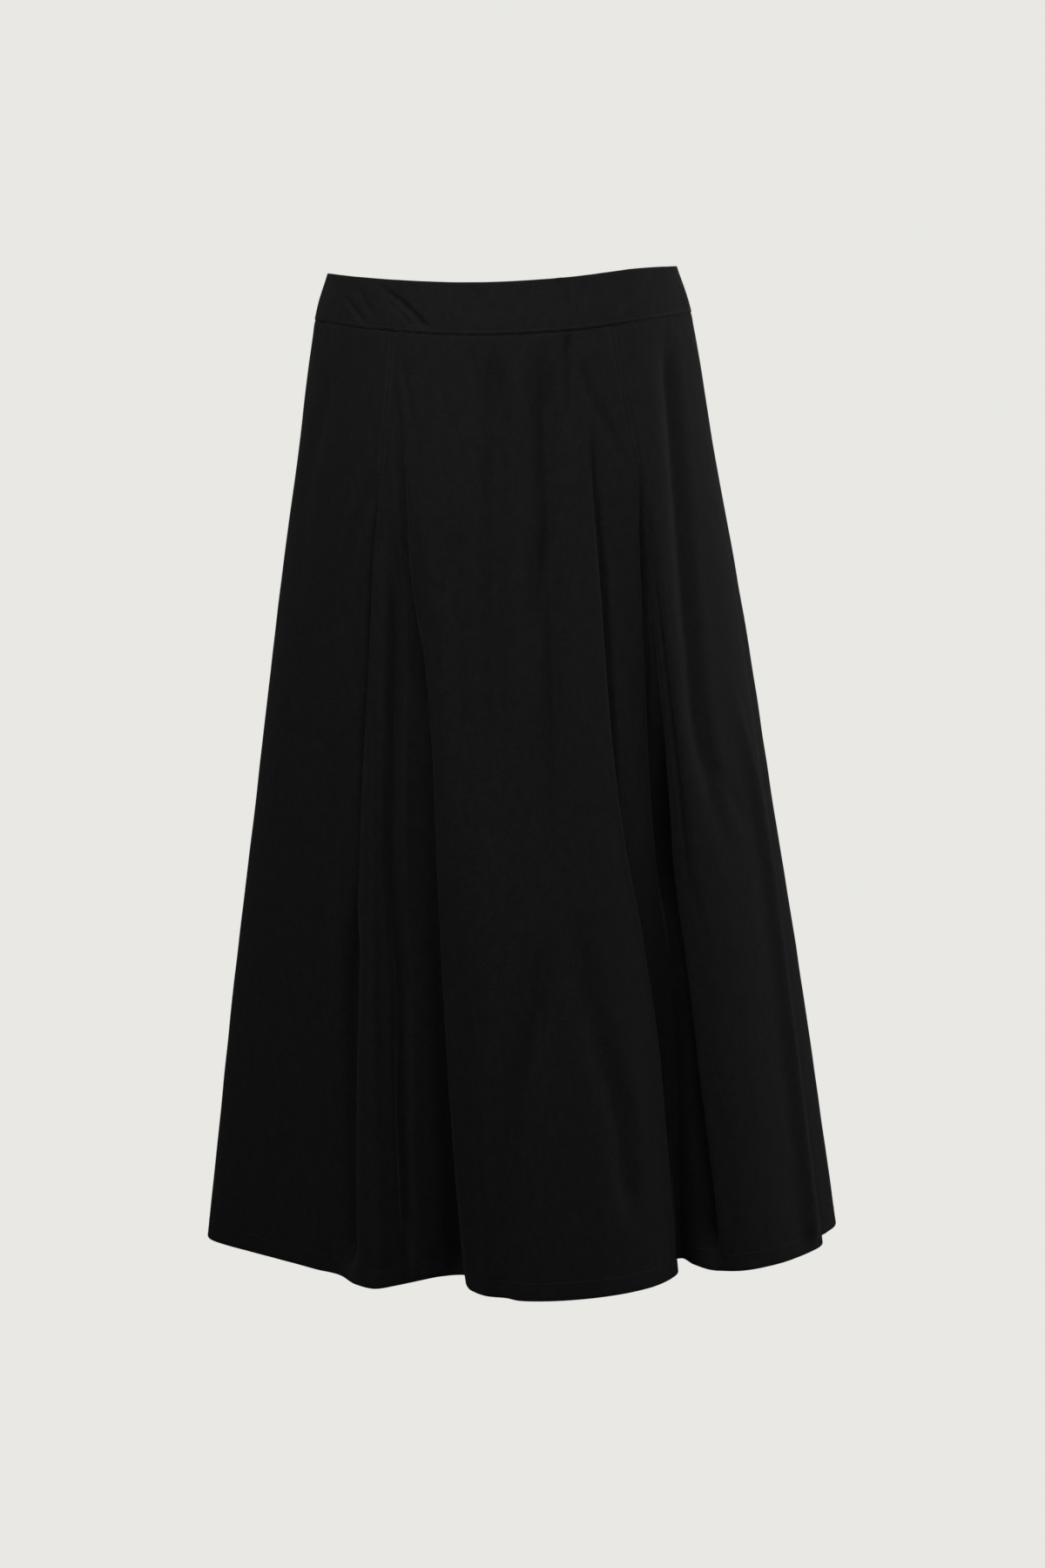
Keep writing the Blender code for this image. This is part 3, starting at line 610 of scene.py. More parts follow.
def panel_rows():
    """The drops of a panel's rows: some under the waistband, even ones, and close ones at the hem."""
    top = [-BAND_TUCK, -BAND_TUCK / 2, *ROWS_BELOW_BAND]
    hem_top = HEM_DROP - HEM_DEPTH
    steps = round((hem_top - HEM_STEP - FIRST_EVEN_ROW) / ROW_STEP)
    body = np.linspace(FIRST_EVEN_ROW, hem_top - HEM_STEP, steps)
    low = np.linspace(hem_top + HEM_ROW_START, HEM_DROP - HEM_STEP, HEM_ROWS)
    return np.array([*top, *body, hem_top, hem_top + HEM_STEP, *low])


def band_rows():
    """The drops of the waistband's rows, between its two rounded edges."""
    edge = BAND_THICKNESS / 2
    steps = round((BAND_HEIGHT - 2 * edge) / BAND_ROW_STEP)
    return np.linspace(-BAND_HEIGHT + edge, -edge, steps)


Cloth = namedtuple("Cloth", "drops points normals travel")


def waist_lift(drops):
    """How far the cloth is raised at each row and column, most at the waistband's top."""
    round_way = np.exp(-(((COLUMN_ANGLES[0] - LIFT_ANGLE) / LIFT_SPREAD) ** 2))
    down = np.exp(-(((drops + BAND_HEIGHT) / LIFT_DEPTH) ** 2))
    return WAIST_LIFT * down[:, None] * round_way[None, :]


def relieved_cloth(drops, front_creases, back_creases, extra_relief, crumple):
    """The outer surface at these drops, with all its relief pressed in."""
    points = surface(drops)
    travel = travelled(points, axis=1)
    relief = uneven_relief(points, *crumple) + seam_relief(points, travel) + extra_relief(travel, drops)
    for side, creases in (("front", front_creases), ("back", back_creases)):
        for crease in creases:
            relief += crease_relief(crease, side, points, travel, drops)
    points = points - outward(points) * relief[:, :, None]
    points[:, :, 2] += waist_lift(drops)
    return Cloth(drops, points, outward(points), travel)


def panel_extra(travel, drops):
    """The panels sink under the waistband's edge and pucker at the waist and hem stitches."""
    sink = WAIST_SINK * np.exp(-((np.maximum(drops, 0.0) / WAIST_SINK_REACH) ** 2))[:, None]
    at_waist = pucker_relief(travel, drops, WAIST_PHASE)
    at_hem = pucker_relief(travel, drops - (HEM_DROP - HEM_ROW_UP), HEM_PHASE)
    return sink + at_waist + HEM_PUCKER_SHARE * at_hem


def band_extra(travel, drops):
    """The waistband stands proud of the panels and puckers at its topstitching."""
    return pucker_relief(travel, drops + WAIST_ROW_UP, BAND_PHASE) * BAND_PUCKER_SHARE - BAND_PROUD


# Meshes


def finished(name, mesh, surface_material):
    """Puts a mesh in the scene as a piece that rides on the skirt."""
    mesh.materials.append(surface_material)
    mesh.shade_smooth()
    piece = bpy.data.objects.new(name, mesh)
    bpy.context.scene.collection.objects.link(piece)
    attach(piece, BODY)
    return piece


def new_mesh(name, vertices, faces):
    mesh = bpy.data.meshes.new(name)
    mesh.from_pydata(vertices, [], faces)
    mesh.update()
    return mesh


def strips(low, high, closed=False):
    """Quads between two equal rows of vertex numbers."""
    low_next, high_next = np.roll(low, -1), np.roll(high, -1)
    quads = np.stack([low, high, high_next, low_next], axis=-1)
    return quads if closed else quads[:-1]


def rounded_edge(face, back, along):
    """Points round the free edge between two rows, which bulges along the given directions."""
    middle = (face + back) / 2
    half = (face - back) / 2
    radius = np.linalg.norm(half, axis=1, keepdims=True)
    turns = [math.pi * k / (EDGE_STEPS + 1) for k in range(1, EDGE_STEPS + 1)]
    return [middle + half * math.cos(a) + along * radius * math.sin(a) for a in turns]


def unit(vectors):
    return vectors / np.linalg.norm(vectors, axis=-1, keepdims=True)


def shell_mesh(name, face, back, grain):
    """A closed shell between two grids of points, with rounded top and bottom edges.

    Each vertex keeps its place on the flat cloth, across and along, in the attribute "grain".
    """
    bottom = rounded_edge(face[-1], back[-1], unit(face[-1] - face[-2]))
    top = rounded_edge(back[0], face[0], unit(face[0] - face[1]))
    loop = [*face, *bottom, *back[::-1], *top]
    loop_grain = [*grain, *[grain[-1]] * len(bottom), *grain[::-1], *[grain[0]] * len(top)]
    rows, count = face.shape[:2]
    numbers = np.arange(len(loop) * count).reshape(len(loop), count)
    faces = []
    for low, high in zip(numbers, np.roll(numbers, -1, axis=0)):
        faces += strips(low, high).tolist()
    first_back = rows + len(bottom)
    last_back = first_back + rows - 1
    for r in range(rows - 1):
        face_a, face_b = numbers[r], numbers[r + 1]
        back_a, back_b = numbers[last_back - r], numbers[last_back - r - 1]
        faces.append([face_a[0], back_a[0], back_b[0], face_b[0]])
        faces.append([face_a[-1], face_b[-1], back_b[-1], back_a[-1]])
    bottom_rows = numbers[rows - 1 : first_back + 1]
    top_rows = np.concatenate([numbers[last_back:], numbers[:1]])
    for edge in (bottom_rows, top_rows):
        faces += [edge[::-1, 0].tolist(), edge[:, -1].tolist()]
    mesh = new_mesh(name, np.concatenate(loop).tolist(), faces)
    attribute = mesh.attributes.new("grain", "FLOAT_VECTOR", "POINT")
    attribute.data.foreach_set("vector", np.concatenate(loop_grain).astype(np.float32).ravel())
    return mesh


def panel_columns(first, last):
    """The columns of a panel, from one seam to the next."""
    start, end = column_of(first), column_of(last)
    if end <= start:
        end += len(COLUMNS)
    return np.arange(start, end + 1) % len(COLUMNS)


def grain_of(face):
    """The place of each point on the flat cloth: across from the middle column, and along."""
    across = travelled(face, axis=1)
    across -= across[:, -1:] / 2
    return np.stack([across, travelled(face), np.zeros(across.shape)], axis=-1)


def shell_piece(name, face, back, surface_material):
    return finished(name, shell_mesh(name, face, back, grain_of(face)), surface_material)


def cloth_piece(name, cloth, columns, thickness, surface_material, node):
    """A thin shell on part of the cloth, which stands for a solid."""
    face = cloth.points[:, columns]
    back = face - cloth.normals[:, columns] * thickness[:, None, None]
    piece = shell_piece(name, face, back, surface_material)
    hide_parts(node)
    return piece


def panel_thickness(drops):
    """One layer, and three at the turned-up hem."""
    turned = smooth_step((drops - (HEM_DROP - HEM_DEPTH)) / HEM_STEP)
    return CLOTH_THICKNESS + (HEM_THICKNESS - CLOTH_THICKNESS) * turned


# Stitches


def walk(points, normals, pitch):
    """Evenly spaced places along a line: their points, directions and normals."""
    travel = travelled(points)
    count = int(travel[-1] / pitch)
    places = (np.arange(count) + 0.5) * travel[-1] / count
    ahead = along(points, travel, places + pitch / 4) - along(points, travel, places - pitch / 4)
    return along(points, travel, places), unit(ahead), unit(along(normals, travel, places))


def rings_round(centres, beside, up, radius, sides):
    """The points of a round thread at each of its centres, side after side."""
    turns = [2 * math.pi * side / sides for side in range(sides)]
    return [centres + (beside * math.cos(turn) + up * math.sin(turn)) * radius for turn in turns]


def tube_faces(numbers):
    """Quads between rings of vertex numbers, and a cap on each end."""
    faces = [numbers[0].tolist(), numbers[-1][::-1].tolist()]
    for low, high in zip(numbers, numbers[1:]):
        faces += strips(low, high, closed=True).tolist()
    return faces


def tube_mesh(name, points, radius, normals):
    """A thin round tube along a line of points."""
    ahead = unit(np.gradient(points, axis=0))
    beside = unit(np.cross(ahead, normals))
    rings = rings_round(points, beside, np.cross(beside, ahead), radius, TUBE_SIDES)
    vertices = np.stack(rings, axis=1).reshape(-1, 3)
    numbers = np.arange(len(vertices)).reshape(-1, TUBE_SIDES)
    return new_mesh(name, vertices.tolist(), tube_faces(numbers))


def stitch_mesh(name, lines, thread_radius):
    """Short rounded threads along lines of points and normals, with their ends in the cloth."""
    vertices = []
    for points, normals in lines:
        middle, ahead, up = walk(points, normals, STITCH_PITCH)
        beside = unit(np.cross(ahead, up))
        rings = []
        for place, lift, size in STITCH_SHAPE:
            centres = middle + ahead * place * STITCH_LENGTH + up * lift * thread_radius
            rings += rings_round(centres, beside, up, size * thread_radius, STITCH_SIDES)
        vertices.append(np.stack(rings, axis=1).reshape(-1, 3))
    vertices = np.concatenate(vertices)
    faces = []
    for numbers in np.arange(len(vertices)).reshape(-1, len(STITCH_SHAPE), STITCH_SIDES):
        faces += tube_faces(numbers)
    return new_mesh(name, vertices.tolist(), faces)


def level_line(cloth, columns, drop):
    """Points and normals along the cloth at one drop."""
    row = int(np.clip(np.searchsorted(cloth.drops, drop) - 1, 0, len(cloth.drops) - 2))
    share = (drop - cloth.drops[row]) / (cloth.drops[row + 1] - cloth.drops[row])
    points = cloth.points[row, columns] * (1 - share) + cloth.points[row + 1, columns] * share
    normals = cloth.normals[row, columns] * (1 - share) + cloth.normals[row + 1, columns] * share
    return points, normals


def falling_line(cloth, side, path, beside):
    """Points and normals down the cloth along a path of x and drop, moved sideways by beside."""
    rows, xs = path_on_rows(path, cloth.drops)
    line = line_on_rows(cloth.points, cloth.travel, rows, xs, side) + beside
    points = []
    normals = []
    for row, where in zip(rows, line):
        travel = cloth.travel[row]
        points.append(along(cloth.points[row], travel, where))
        normals.append(along(cloth.normals[row], travel, where))
    return np.array(points), np.array(normals)


# Inside: pleat layers, seam allowances and the zip


def along_seam(cloth, rows, seam, offsets):
    """Points and normals on some rows of the cloth, at distances round from a seam."""
    whole = cloth.travel[:, -1] + np.linalg.norm(cloth.points[:, 0] - cloth.points[:, -1], axis=1)
    points = []
    normals = []
    for row in rows:
        travel = np.append(cloth.travel[row], whole[row])
        where = (cloth.travel[row, column_of(seam)] + offsets) % whole[row]
        for found, grid in ((points, cloth.points), (normals, cloth.normals)):
            found.append(along(np.concatenate([grid[row], grid[row, :1]]), travel, where))
    return np.array(points), unit(np.array(normals))


def make_pleat_layer(name, node, path, surface_material):
    """The cloth that a stitched-down pleat folds away behind the front, thinner at its stitches."""
    offsets = np.linspace(-INTAKE_HALF_WIDTH, INTAKE_HALF_WIDTH, INTAKE_COLUMNS)
    lines = [falling_line(panels, "front", path, offset) for offset in offsets]
    points = np.stack([line[0] for line in lines], axis=1)
    normals = unit(np.stack([line[1] for line in lines], axis=1))
    press = 1.0 - PRESS_SHARE * np.exp(-((offsets / PRESS_WIDTH) ** 2))
    face = points - normals * (CLOTH_THICKNESS + LAYER_GAP)
    back = face - normals * (INTAKE_THICKNESS * press)[None, :, None]
    piece = shell_piece(name, face, back, surface_material)
    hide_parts(node)
    return piece


def join(name, meshes):
    """One mesh with all the faces of several."""
    vertices = []
    faces = []
    for mesh in meshes:
        start = len(vertices)
        vertices += [vertex.co[:] for vertex in mesh.vertices]
        faces += [[start + v for v in polygon.vertices] for polygon in mesh.polygons]
    return new_mesh(name, vertices, faces)


def overlock_mesh(outer, inner, up):
    """A zigzag of thread between two lines."""
    fall = travelled(outer)
    turns = np.arange(2 * int(fall[-1] / OVERLOCK_PITCH) + 1)
    places = np.linspace(0.0, fall[-1], len(turns))
    reach = OVERLOCK_WIDTH / ALLOWANCE_WIDTH
    inward = along(outer * (1 - reach) + inner * reach, fall, places)
    line = np.where(turns[:, None] % 2 == 0, along(outer, fall, places), inward)
    return tube_mesh("overlock", line, OVERLOCK_RADIUS, unit(along(up, fall, places)))


def make_seam_allowances(seam, first_drop, surface_material):
    """The two pressed-open edges inside a seam, with overlock stitches along their free edges."""
    last_drop = HEM_DROP - HEM_DEPTH - ALLOWANCE_ABOVE_HEM
    rows = np.flatnonzero((panels.drops > first_drop) & (panels.drops < last_drop))
    shares = np.linspace(0.0, 1.0, ALLOWANCE_COLUMNS)
    lift = CLOTH_THICKNESS + LAYER_GAP + ALLOWANCE_CURL * shares**3
    pieces = []
    overlock = []
    for side, label in ((-1, "before"), (1, "after")):
        points, normals = along_seam(panels, rows, seam, side * shares * ALLOWANCE_WIDTH)
        face = points - normals * lift[None, :, None]
        back = face - normals * ALLOWANCE_THICKNESS
        overlock.append(overlock_mesh(back[:, -1], back[:, OVERLOCK_COLUMN], -normals[:, -1]))
        if side < 0:
            face, back = face[:, ::-1], back[:, ::-1]
        pieces.append(shell_piece(seam + "_allowance_" + label, face, back, surface_material))
    finished(seam + "_overlock", join("overlock", overlock), thread_material)
    return pieces


def make_zip(tape_surface, coil_surface):
    """The zip's woven tape behind the centre back seam, with its coil along the middle."""
    band_rows_behind = np.flatnonzero(band.drops > TAPE_TOP)
    below_band, above_end = panels.drops > TAPE_BELOW_BAND, panels.drops < TAPE_END
    panel_rows_behind = np.flatnonzero(below_band & above_end)
    offsets = np.linspace(-TAPE_HALF_WIDTH, TAPE_HALF_WIDTH, TAPE_COLUMNS)
    parts = (
        (band, band_rows_behind, BAND_THICKNESS + LAYER_GAP),
        (panels, panel_rows_behind, CLOTH_THICKNESS + 2 * LAYER_GAP),
    )
    face = []
    normals = []
    for cloth, rows, inset in parts:
        part_points, part_normals = along_seam(cloth, rows, "centre_back_seam", offsets)
        face.append(part_points - part_normals * inset)
        normals.append(part_normals)
    face = np.concatenate(face)
    normals = np.concatenate(normals)
    ridge = TAPE_RIDGE * np.exp(-((offsets / TAPE_RIDGE_WIDTH) ** 2))
    back = face - normals * (TAPE_THICKNESS + ridge)[None, :, None]
    tape = shell_piece("zip_tape_woven", face, back, tape_surface)
    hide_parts("zip_tape")

    middle = TAPE_COLUMNS // 2
    line = back[:, middle] - normals[:, middle] * (COIL_HALF_HEIGHT + COIL_WIRE)
    fall = travelled(line)
    turns = int(fall[-1] / COIL_PITCH)
    places = np.linspace(0.0, fall[-1], turns * COIL_TURN_POINTS + 1)
    phase = 2 * math.pi * np.arange(len(places)) / COIL_TURN_POINTS
    centre = along(line, fall, places)
    out = unit(along(normals[:, middle], fall, places))
    beside = unit(np.cross(unit(np.gradient(centre, axis=0)), out))
    coil = centre + beside * (COIL_HALF_WIDTH * np.cos(phase))[:, None]
    coil = coil + out * (COIL_HALF_HEIGHT * np.sin(phase))[:, None]
    finished("zip_coil", tube_mesh("zip_coil", coil, COIL_WIRE, out), coil_surface)


# Materials


class Nodes:
    """Makes one material from nodes."""

    def __init__(self, name):
        self.material = bpy.data.materials.new(name)
        self.material.use_nodes = True
        self.tree = self.material.node_tree
        self.shader = self.tree.nodes["Principled BSDF"]

    def add(self, kind, **properties):
        """A node of this kind, with its properties set."""
        node = self.tree.nodes.new(kind)
        for name, value in properties.items():
            setattr(node, name, value)
        return node

    def link(self, output, socket):
        self.tree.links.new(output, socket)

    def math(self, operation, a, b=None):
        """One sum of two outputs or numbers."""
        node = self.add("ShaderNodeMath", operation=operation)
        for socket, value in zip(node.inputs, (a, b)):
            if isinstance(value, (int, float)):
                socket.default_value = value
            elif value is not None:
                self.link(value, socket)
        return node.outputs[0]

    def flat_place(self):
        """The place on the flat cloth: whole, across and along."""
        grain = self.add("ShaderNodeAttribute", attribute_name="grain").outputs["Vector"]
        parts = self.add("ShaderNodeSeparateXYZ")
        self.link(grain, parts.inputs[0])
        return grain, parts.outputs["X"], parts.outputs["Y"]

    def object_place(self):
        return self.add("ShaderNodeTexCoord").outputs["Object"]

    def noise(self, vector, scale, detail=2.0, roughness=0.5):
        node = self.add("ShaderNodeTexNoise")
        self.link(vector, node.inputs["Vector"])
        node.inputs["Scale"].default_value = scale
        node.inputs["Detail"].default_value = detail
        node.inputs["Roughness"].default_value = roughness
        return node.outputs["Fac"]

    def stretched(self, vector, scale):
        """A vector scaled by a different number each way."""
        node = self.add("ShaderNodeMapping")
        node.inputs["Scale"].default_value = scale
        self.link(vector, node.inputs["Vector"])
        return node.outputs["Vector"]

    def colour(self, value, low, high, low_colour, high_colour):
        """Gives the shader a colour that turns from one to another between two values."""
        node = self.add("ShaderNodeValToRGB")
        node.color_ramp.elements[0].position = low
        node.color_ramp.elements[1].position = high
        node.color_ramp.elements[0].color = (*low_colour, 1.0)
        node.color_ramp.elements[1].color = (*high_colour, 1.0)
        self.link(value, node.inputs["Fac"])
        self.link(node.outputs["Color"], self.shader.inputs["Base Color"])

    def roughness(self, value, low, high, smooth, rough):
        """Gives the shader a roughness that grows from smooth to rough between two values."""
        node = self.add("ShaderNodeMapRange")
        ends = {"From Min": low, "From Max": high, "To Min": smooth, "To Max": rough}
        for name, number in ends.items():
            node.inputs[name].default_value = number
        self.link(value, node.inputs["Value"])
        self.link(node.outputs["Result"], self.shader.inputs["Roughness"])

    def bump(self, *layers):
        """Gives the shader bumps in layers, the lowest first: a height, a distance and a strength."""
        normal = None
        for height, distance, strength in layers:
            node = self.add("ShaderNodeBump")
            node.inputs["Distance"].default_value = distance
            node.inputs["Strength"].default_value = strength
            self.link(height, node.inputs["Height"])
            if normal is not None:
                self.link(normal, node.inputs["Normal"])
            normal = node.outputs["Normal"]
        self.link(normal, self.shader.inputs["Normal"])

    def set(self, **values):
        """Plain numbers on the shader's own sockets."""
        for name, value in values.items():
            self.shader.inputs[name.replace("_", " ")].default_value = value


WEAVE_PITCH = 0.00052
YARNS_PER_METRE = 900.0
SLUBS_PER_METRE = 26.0
FLECKS_PER_METRE = 520.0
CLOUDS_PER_METRE = 150.0
CLOUD_STRETCH = 0.55
YARN_SHARE = 0.38
FLECK_SHARE = 0.40
CLOUD_SHARE = 0.22
COTTON_DARK = (0.0030, 0.0030, 0.0033)
COTTON_LIGHT = (0.0152, 0.0150, 0.0153)
THREAD_TWISTS_PER_METRE = 2500.0
TAPE_RIB_PITCH = 0.0009
TAPE_PICK_PITCH = 0.0006
COIL_STREAKS_PER_METRE = 900.0
SCUFF_SCALE = (700.0, 700.0, 260.0)
SCUFF_SHARE = 0.08


def cotton():
    """Fine plain-weave cotton, black, with uneven yarns both ways, paler flecks and a faint nap."""
    made = Nodes("black_cotton_cloth")
    grain, across, down = made.flat_place()
    turn = math.pi / WEAVE_PITCH
    warp = made.math("SINE", made.math("MULTIPLY", across, turn))
    weft = made.math("SINE", made.math("MULTIPLY", down, turn))
    weave = made.math("MULTIPLY", warp, weft)
    warp_place = made.stretched(grain, (YARNS_PER_METRE, SLUBS_PER_METRE, 1.0))
    weft_place = made.stretched(grain, (SLUBS_PER_METRE, YARNS_PER_METRE, 1.0))
    warp_yarns = made.noise(warp_place, 1.0, detail=3.0, roughness=0.6)
    weft_yarns = made.noise(weft_place, 1.0, detail=3.0, roughness=0.6)
    yarns = made.math("MULTIPLY", made.math("ADD", warp_yarns, weft_yarns), 0.5)
    flecks = made.noise(grain, FLECKS_PER_METRE, detail=3.0, roughness=0.65)
    cloud_place = made.stretched(grain, (1.0, CLOUD_STRETCH, 1.0))
    clouds = made.noise(cloud_place, CLOUDS_PER_METRE, detail=4.0, roughness=0.6)
    yarn_tone = made.math("MULTIPLY", yarns, YARN_SHARE)
    fleck_tone = made.math("MULTIPLY", flecks, FLECK_SHARE)
    cloud_tone = made.math("MULTIPLY", clouds, CLOUD_SHARE)
    tone = made.math("ADD", made.math("ADD", yarn_tone, fleck_tone), cloud_tone)
    made.colour(tone, 0.36, 0.64, COTTON_DARK, COTTON_LIGHT)
    made.roughness(yarns, 0.35, 0.65, smooth=0.74, rough=0.92)
    made.bump((clouds, 0.0008, 0.4), (flecks, 0.0003, 0.6), (yarns, 0.0004, 0.7), (weave, 0.00007, 0.6))
    made.set(Specular_IOR_Level=0.20, Sheen_Weight=0.04, Sheen_Roughness=0.5)
    return made.material


def sewing_thread():
    """Black polyester thread with a soft shine and a twist."""
    made = Nodes("black_sewing_thread")
    twist = made.noise(made.object_place(), THREAD_TWISTS_PER_METRE, detail=1.0)
    made.colour(twist, 0.35, 0.65, (0.012, 0.012, 0.0125), (0.030, 0.030, 0.031))
    made.bump((twist, 0.00005, 0.5))
    made.set(Roughness=0.5, Specular_IOR_Level=0.4)
    return made.material


def zip_weave():
    """Black polyester tape with a fine herringbone rib."""
    made = Nodes("black_zip_tape")
    _, across, down = made.flat_place()
    ribs = made.math("SINE", made.math("MULTIPLY", across, 2 * math.pi / TAPE_RIB_PITCH))
    picks = made.math("SINE", made.math("MULTIPLY", down, 2 * math.pi / TAPE_PICK_PITCH))
    weave = made.math("MULTIPLY", ribs, picks)
    made.colour(weave, 0.0, 1.0, (0.008, 0.008, 0.0085), (0.014, 0.014, 0.0145))
    made.bump((weave, 0.00012, 0.8))
    made.set(Roughness=0.72, Specular_IOR_Level=0.3)
    return made.material


def nylon():
    """Black nylon of the zip's coil, with a soft shine."""
    made = Nodes("black_nylon_coil")
    streaks = made.noise(made.object_place(), COIL_STREAKS_PER_METRE)
    made.colour(streaks, 0.3, 0.7, (0.010, 0.010, 0.011), (0.018, 0.018, 0.019))
    made.set(Roughness=0.34, Specular_IOR_Level=0.5)
    return made.material


def lacquer():
    """Black lacquered metal of the slider and its pull, rubbed a little lighter at the edges."""
    made = Nodes("black_lacquered_metal")
    edge = made.add("ShaderNodeNewGeometry").outputs["Pointiness"]
    scuff_place = made.stretched(made.object_place(), SCUFF_SCALE)
    scuffs = made.noise(scuff_place, 1.0, detail=4.0, roughness=0.7)
    wear = made.math("ADD", edge, made.math("MULTIPLY", scuffs, SCUFF_SHARE))
    made.colour(wear, 0.545, 0.62, (0.014, 0.014, 0.015), (0.075, 0.073, 0.070))
    made.roughness(scuffs, 0.0, 1.0, smooth=0.24, rough=0.46)
    made.bump((scuffs, 0.00003, 0.4))
    made.set(Metallic=0.55, Coat_Weight=0.35, Coat_Roughness=0.2)
    return made.material


# Stage

CAMERA_TARGET = Vector((0.0077, 0.0, -0.382))
CAMERA_DISTANCE = 2.975
CAMERA_ELEVATION = math.radians(8.0)
CAMERA_ROLL = math.radians(-1.15)
CAMERA_LENS_MM = 85.0
SENSOR_MM = 36.0
GROUND_COLOUR = (0.8148, 0.8070, 0.7758)
FLOOR_Z = -1.12
ROOM_RADIUS = 14.0
ROOM_SIDES = 96
ROOM_STEPS = 24
FLOOR_RINGS = (0.25, 0.5, 0.75)


def make_camera():
    """The camera in front of the skirt, a little above it and turned a little."""
    data = bpy.data.cameras.new("photo_camera")
    data.lens = CAMERA_LENS_MM
    data.sensor_width = SENSOR_MM
    camera = bpy.data.objects.new("photo_camera", data)
    bpy.context.scene.collection.objects.link(camera)
    back = Vector((0.0, -math.cos(CAMERA_ELEVATION), math.sin(CAMERA_ELEVATION)))
    camera.location = CAMERA_TARGET + back * CAMERA_DISTANCE
    look = (-back).to_track_quat("-Z", "Y").to_matrix()
    camera.rotation_euler = (look @ Matrix.Rotation(CAMERA_ROLL, 3, "Z")).to_euler()
    bpy.context.scene.camera = camera


def make_room():
    """A plain pale floor that runs on into a round wall and ceiling of the same colour."""
    vertices = [(0.0, 0.0, FLOOR_Z)]
    faces = []
    profile = [(ROOM_RADIUS * share, FLOOR_Z) for share in FLOOR_RINGS]
    for step in range(ROOM_STEPS):
        rise = math.pi / 2 * step / ROOM_STEPS
        profile.append((ROOM_RADIUS * math.cos(rise), FLOOR_Z + ROOM_RADIUS * math.sin(rise)))
    for radius, z in profile:
        for side in range(ROOM_SIDES):
            turn = 2 * math.pi * side / ROOM_SIDES
            vertices.append((radius * math.cos(turn), radius * math.sin(turn), z))
    top = len(vertices)
    vertices.append((0.0, 0.0, FLOOR_Z + ROOM_RADIUS))
    for side in range(ROOM_SIDES):
        beside = (side + 1) % ROOM_SIDES
        faces.append((0, 1 + side, 1 + beside))
        last = 1 + (len(profile) - 1) * ROOM_SIDES
        faces.append((last + side, top, last + beside))
        for ring in range(len(profile) - 1):
            low = 1 + ring * ROOM_SIDES
            high = low + ROOM_SIDES
            faces.append((low + side, high + side, high + beside, low + beside))
    mesh = new_mesh("pale_floor", vertices, faces)
    surface_material = bpy.data.materials.new("pale_ground")
    surface_material.use_nodes = True
    tree = surface_material.node_tree
    tree.nodes.clear()
    glow = tree.nodes.new("ShaderNodeEmission")
    glow.inputs["Color"].default_value = (*GROUND_COLOUR, 1.0)
    out = tree.nodes.new("ShaderNodeOutputMaterial")
    tree.links.new(glow.outputs[0], out.inputs["Surface"])
    mesh.materials.append(surface_material)
    room = bpy.data.objects.new("pale_floor", mesh)
    bpy.context.scene.collection.objects.link(room)
    room.visible_diffuse = False
    room.visible_glossy = False
    room.visible_shadow = False


# Soft lamps, placed by their way round the skirt (0 is in front, + to the wearer's left),
# their height above it, both in degrees, and their distance
Light = namedtuple("Light", "name azimuth elevation distance size watts")
LIGHTS = (
    Light("right_high", -45.0, 44.0, 2.6, 0.9, 10.0),
    Light("near_front", 0.0, 40.0, 1.5, 0.7, 2.6),
    Light("near_front_left", 25.0, 40.0, 1.5, 0.7, 2.7),
    Light("near_top_right", -40.0, 64.0, 1.4, 0.8, 2.8),
    Light("front_left_low", 20.0, 15.0, 2.6, 0.9, 2.8),
    Light("left_low", 75.0, 15.0, 2.6, 0.9, 2.8),
    Light("left_side_high", 95.0, 30.0, 2.4, 0.8, 5.6),
    Light("left_rim", 112.0, 5.0, 2.4, 0.8, 5.4),
    Light("back_high", 178.0, 30.0, 2.6, 1.2, 14.0),
)
LIGHT_AIM = Vector((0.0, -0.05, -0.36))
WORLD_COLOUR = (0.97, 0.98, 1.0)
WORLD_STRENGTH = 0.022


def make_lights():
    """The lamps, and a faint even light from all round."""
    for light in LIGHTS:
        data = bpy.data.lights.new(light.name, "AREA")
        data.shape = "SQUARE"
        data.size = light.size
        data.energy = light.watts
        lamp = bpy.data.objects.new(light.name, data)
        bpy.context.scene.collection.objects.link(lamp)
        turn, rise = math.radians(light.azimuth), math.radians(light.elevation)
        level = math.cos(rise)
        away = Vector((math.sin(turn) * level, -math.cos(turn) * level, math.sin(rise)))
        lamp.location = LIGHT_AIM + away * light.distance
        lamp.rotation_euler = away.to_track_quat("Z", "Y").to_euler()
    world = bpy.data.worlds.new("soft_studio")
    world.use_nodes = True
    background = world.node_tree.nodes["Background"]
    background.inputs["Color"].default_value = (*WORLD_COLOUR, 1.0)
    background.inputs["Strength"].default_value = WORLD_STRENGTH
    bpy.context.scene.world = world
    bpy.context.scene.view_settings.view_transform = "Standard"


# Pieces

cloth_material = cotton()
thread_material = sewing_thread()

panels = relieved_cloth(
    panel_rows(), FRONT_CREASES, BACK_CREASES, panel_extra, (CRUMPLE_SIZE, CRUMPLE_HEIGHT)
)
band = relieved_cloth(
    band_rows(), BAND_FRONT_CREASES, BAND_BACK_CREASES, band_extra,
    (BAND_CRUMPLE_SIZE, BAND_CRUMPLE_HEIGHT),
)

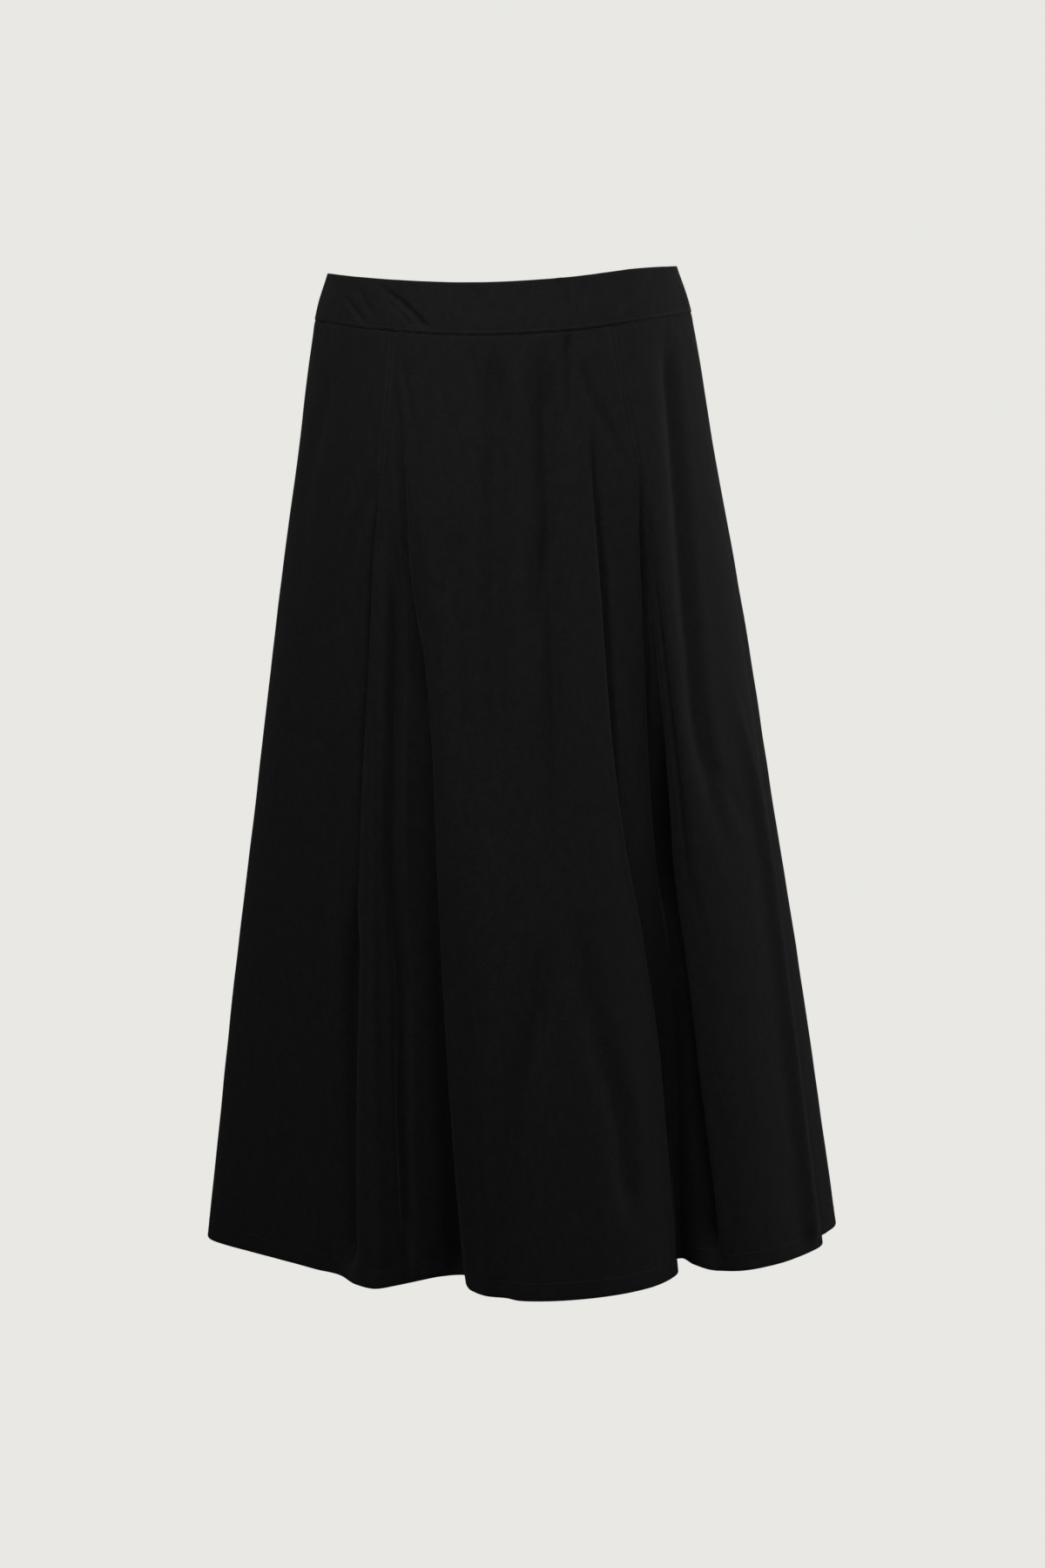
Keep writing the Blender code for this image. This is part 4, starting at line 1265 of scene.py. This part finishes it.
pleat_layers = []
for name, side, path in PLEAT_STITCHES:
    twin_rows = [falling_line(panels, side, path, beside) for beside in (-TWIN_GAP / 2, TWIN_GAP / 2)]
    finished(name, stitch_mesh("stitches", twin_rows, PLEAT_THREAD), thread_material)
    layers_name = name.replace("_stitches", "_layers")
    node = name.replace("_stitches", "_intake")
    pleat_layers.append(make_pleat_layer(layers_name, node, path, cloth_material))

right_allowances = make_seam_allowances("right_side_seam", ALLOWANCE_TOP, cloth_material)
left_allowances = make_seam_allowances("left_side_seam", ALLOWANCE_TOP, cloth_material)
back_allowances = make_seam_allowances("centre_back_seam", TAPE_END + ALLOWANCE_TOP, cloth_material)

# Flat sizes of what shows: a panel's width at the hem, its length and its area, and the
# waistband's length. turned_in are the layers of the panel's own cut that lie behind it.
Panel = namedtuple("Panel", "name first last cut_width cut_length cut_area band_length turned_in")
PANELS = (
    Panel("front", "right_side_seam", "left_side_seam", 0.8405, 0.7471, 0.452, 0.411,
          [*pleat_layers, right_allowances[1], left_allowances[0]]),
    Panel("back_left", "left_side_seam", "centre_back_seam", 0.3611, 0.7471, 0.216, 0.206,
          [left_allowances[1], back_allowances[0]]),
    Panel("back_right", "centre_back_seam", "right_side_seam", 0.3673, 0.7471, 0.218, 0.206,
          [back_allowances[1], right_allowances[0]]),
)
band_thickness = np.full(len(band.drops), BAND_THICKNESS)
for panel in PANELS:
    columns = panel_columns(panel.first, panel.last)
    band_piece = cloth_piece(
        panel.name + "_band_cloth", band, columns, band_thickness, cloth_material,
        panel.name + "_waistband",
    )
    piece = cloth_piece(
        panel.name + "_cloth", panels, columns, panel_thickness(panels.drops), cloth_material,
        panel.name + "_panel",
    )
    waist_line = level_line(band, columns, -WAIST_ROW_UP)
    hem_line = level_line(panels, columns, HEM_DROP - HEM_ROW_UP)
    waist_row = finished(
        panel.name + "_waist_stitches", stitch_mesh("stitches", [waist_line], BAND_THREAD), thread_material
    )
    hem_row = finished(
        panel.name + "_hem_stitches", stitch_mesh("stitches", [hem_line], HEM_THREAD), thread_material
    )

make_zip(zip_weave(), nylon())
metal = lacquer()
for node in ("zip_slider", "zip_pull"):
    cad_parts[node].data.materials.clear()
    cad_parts[node].data.materials.append(metal)

make_camera()
make_room()
make_lights()
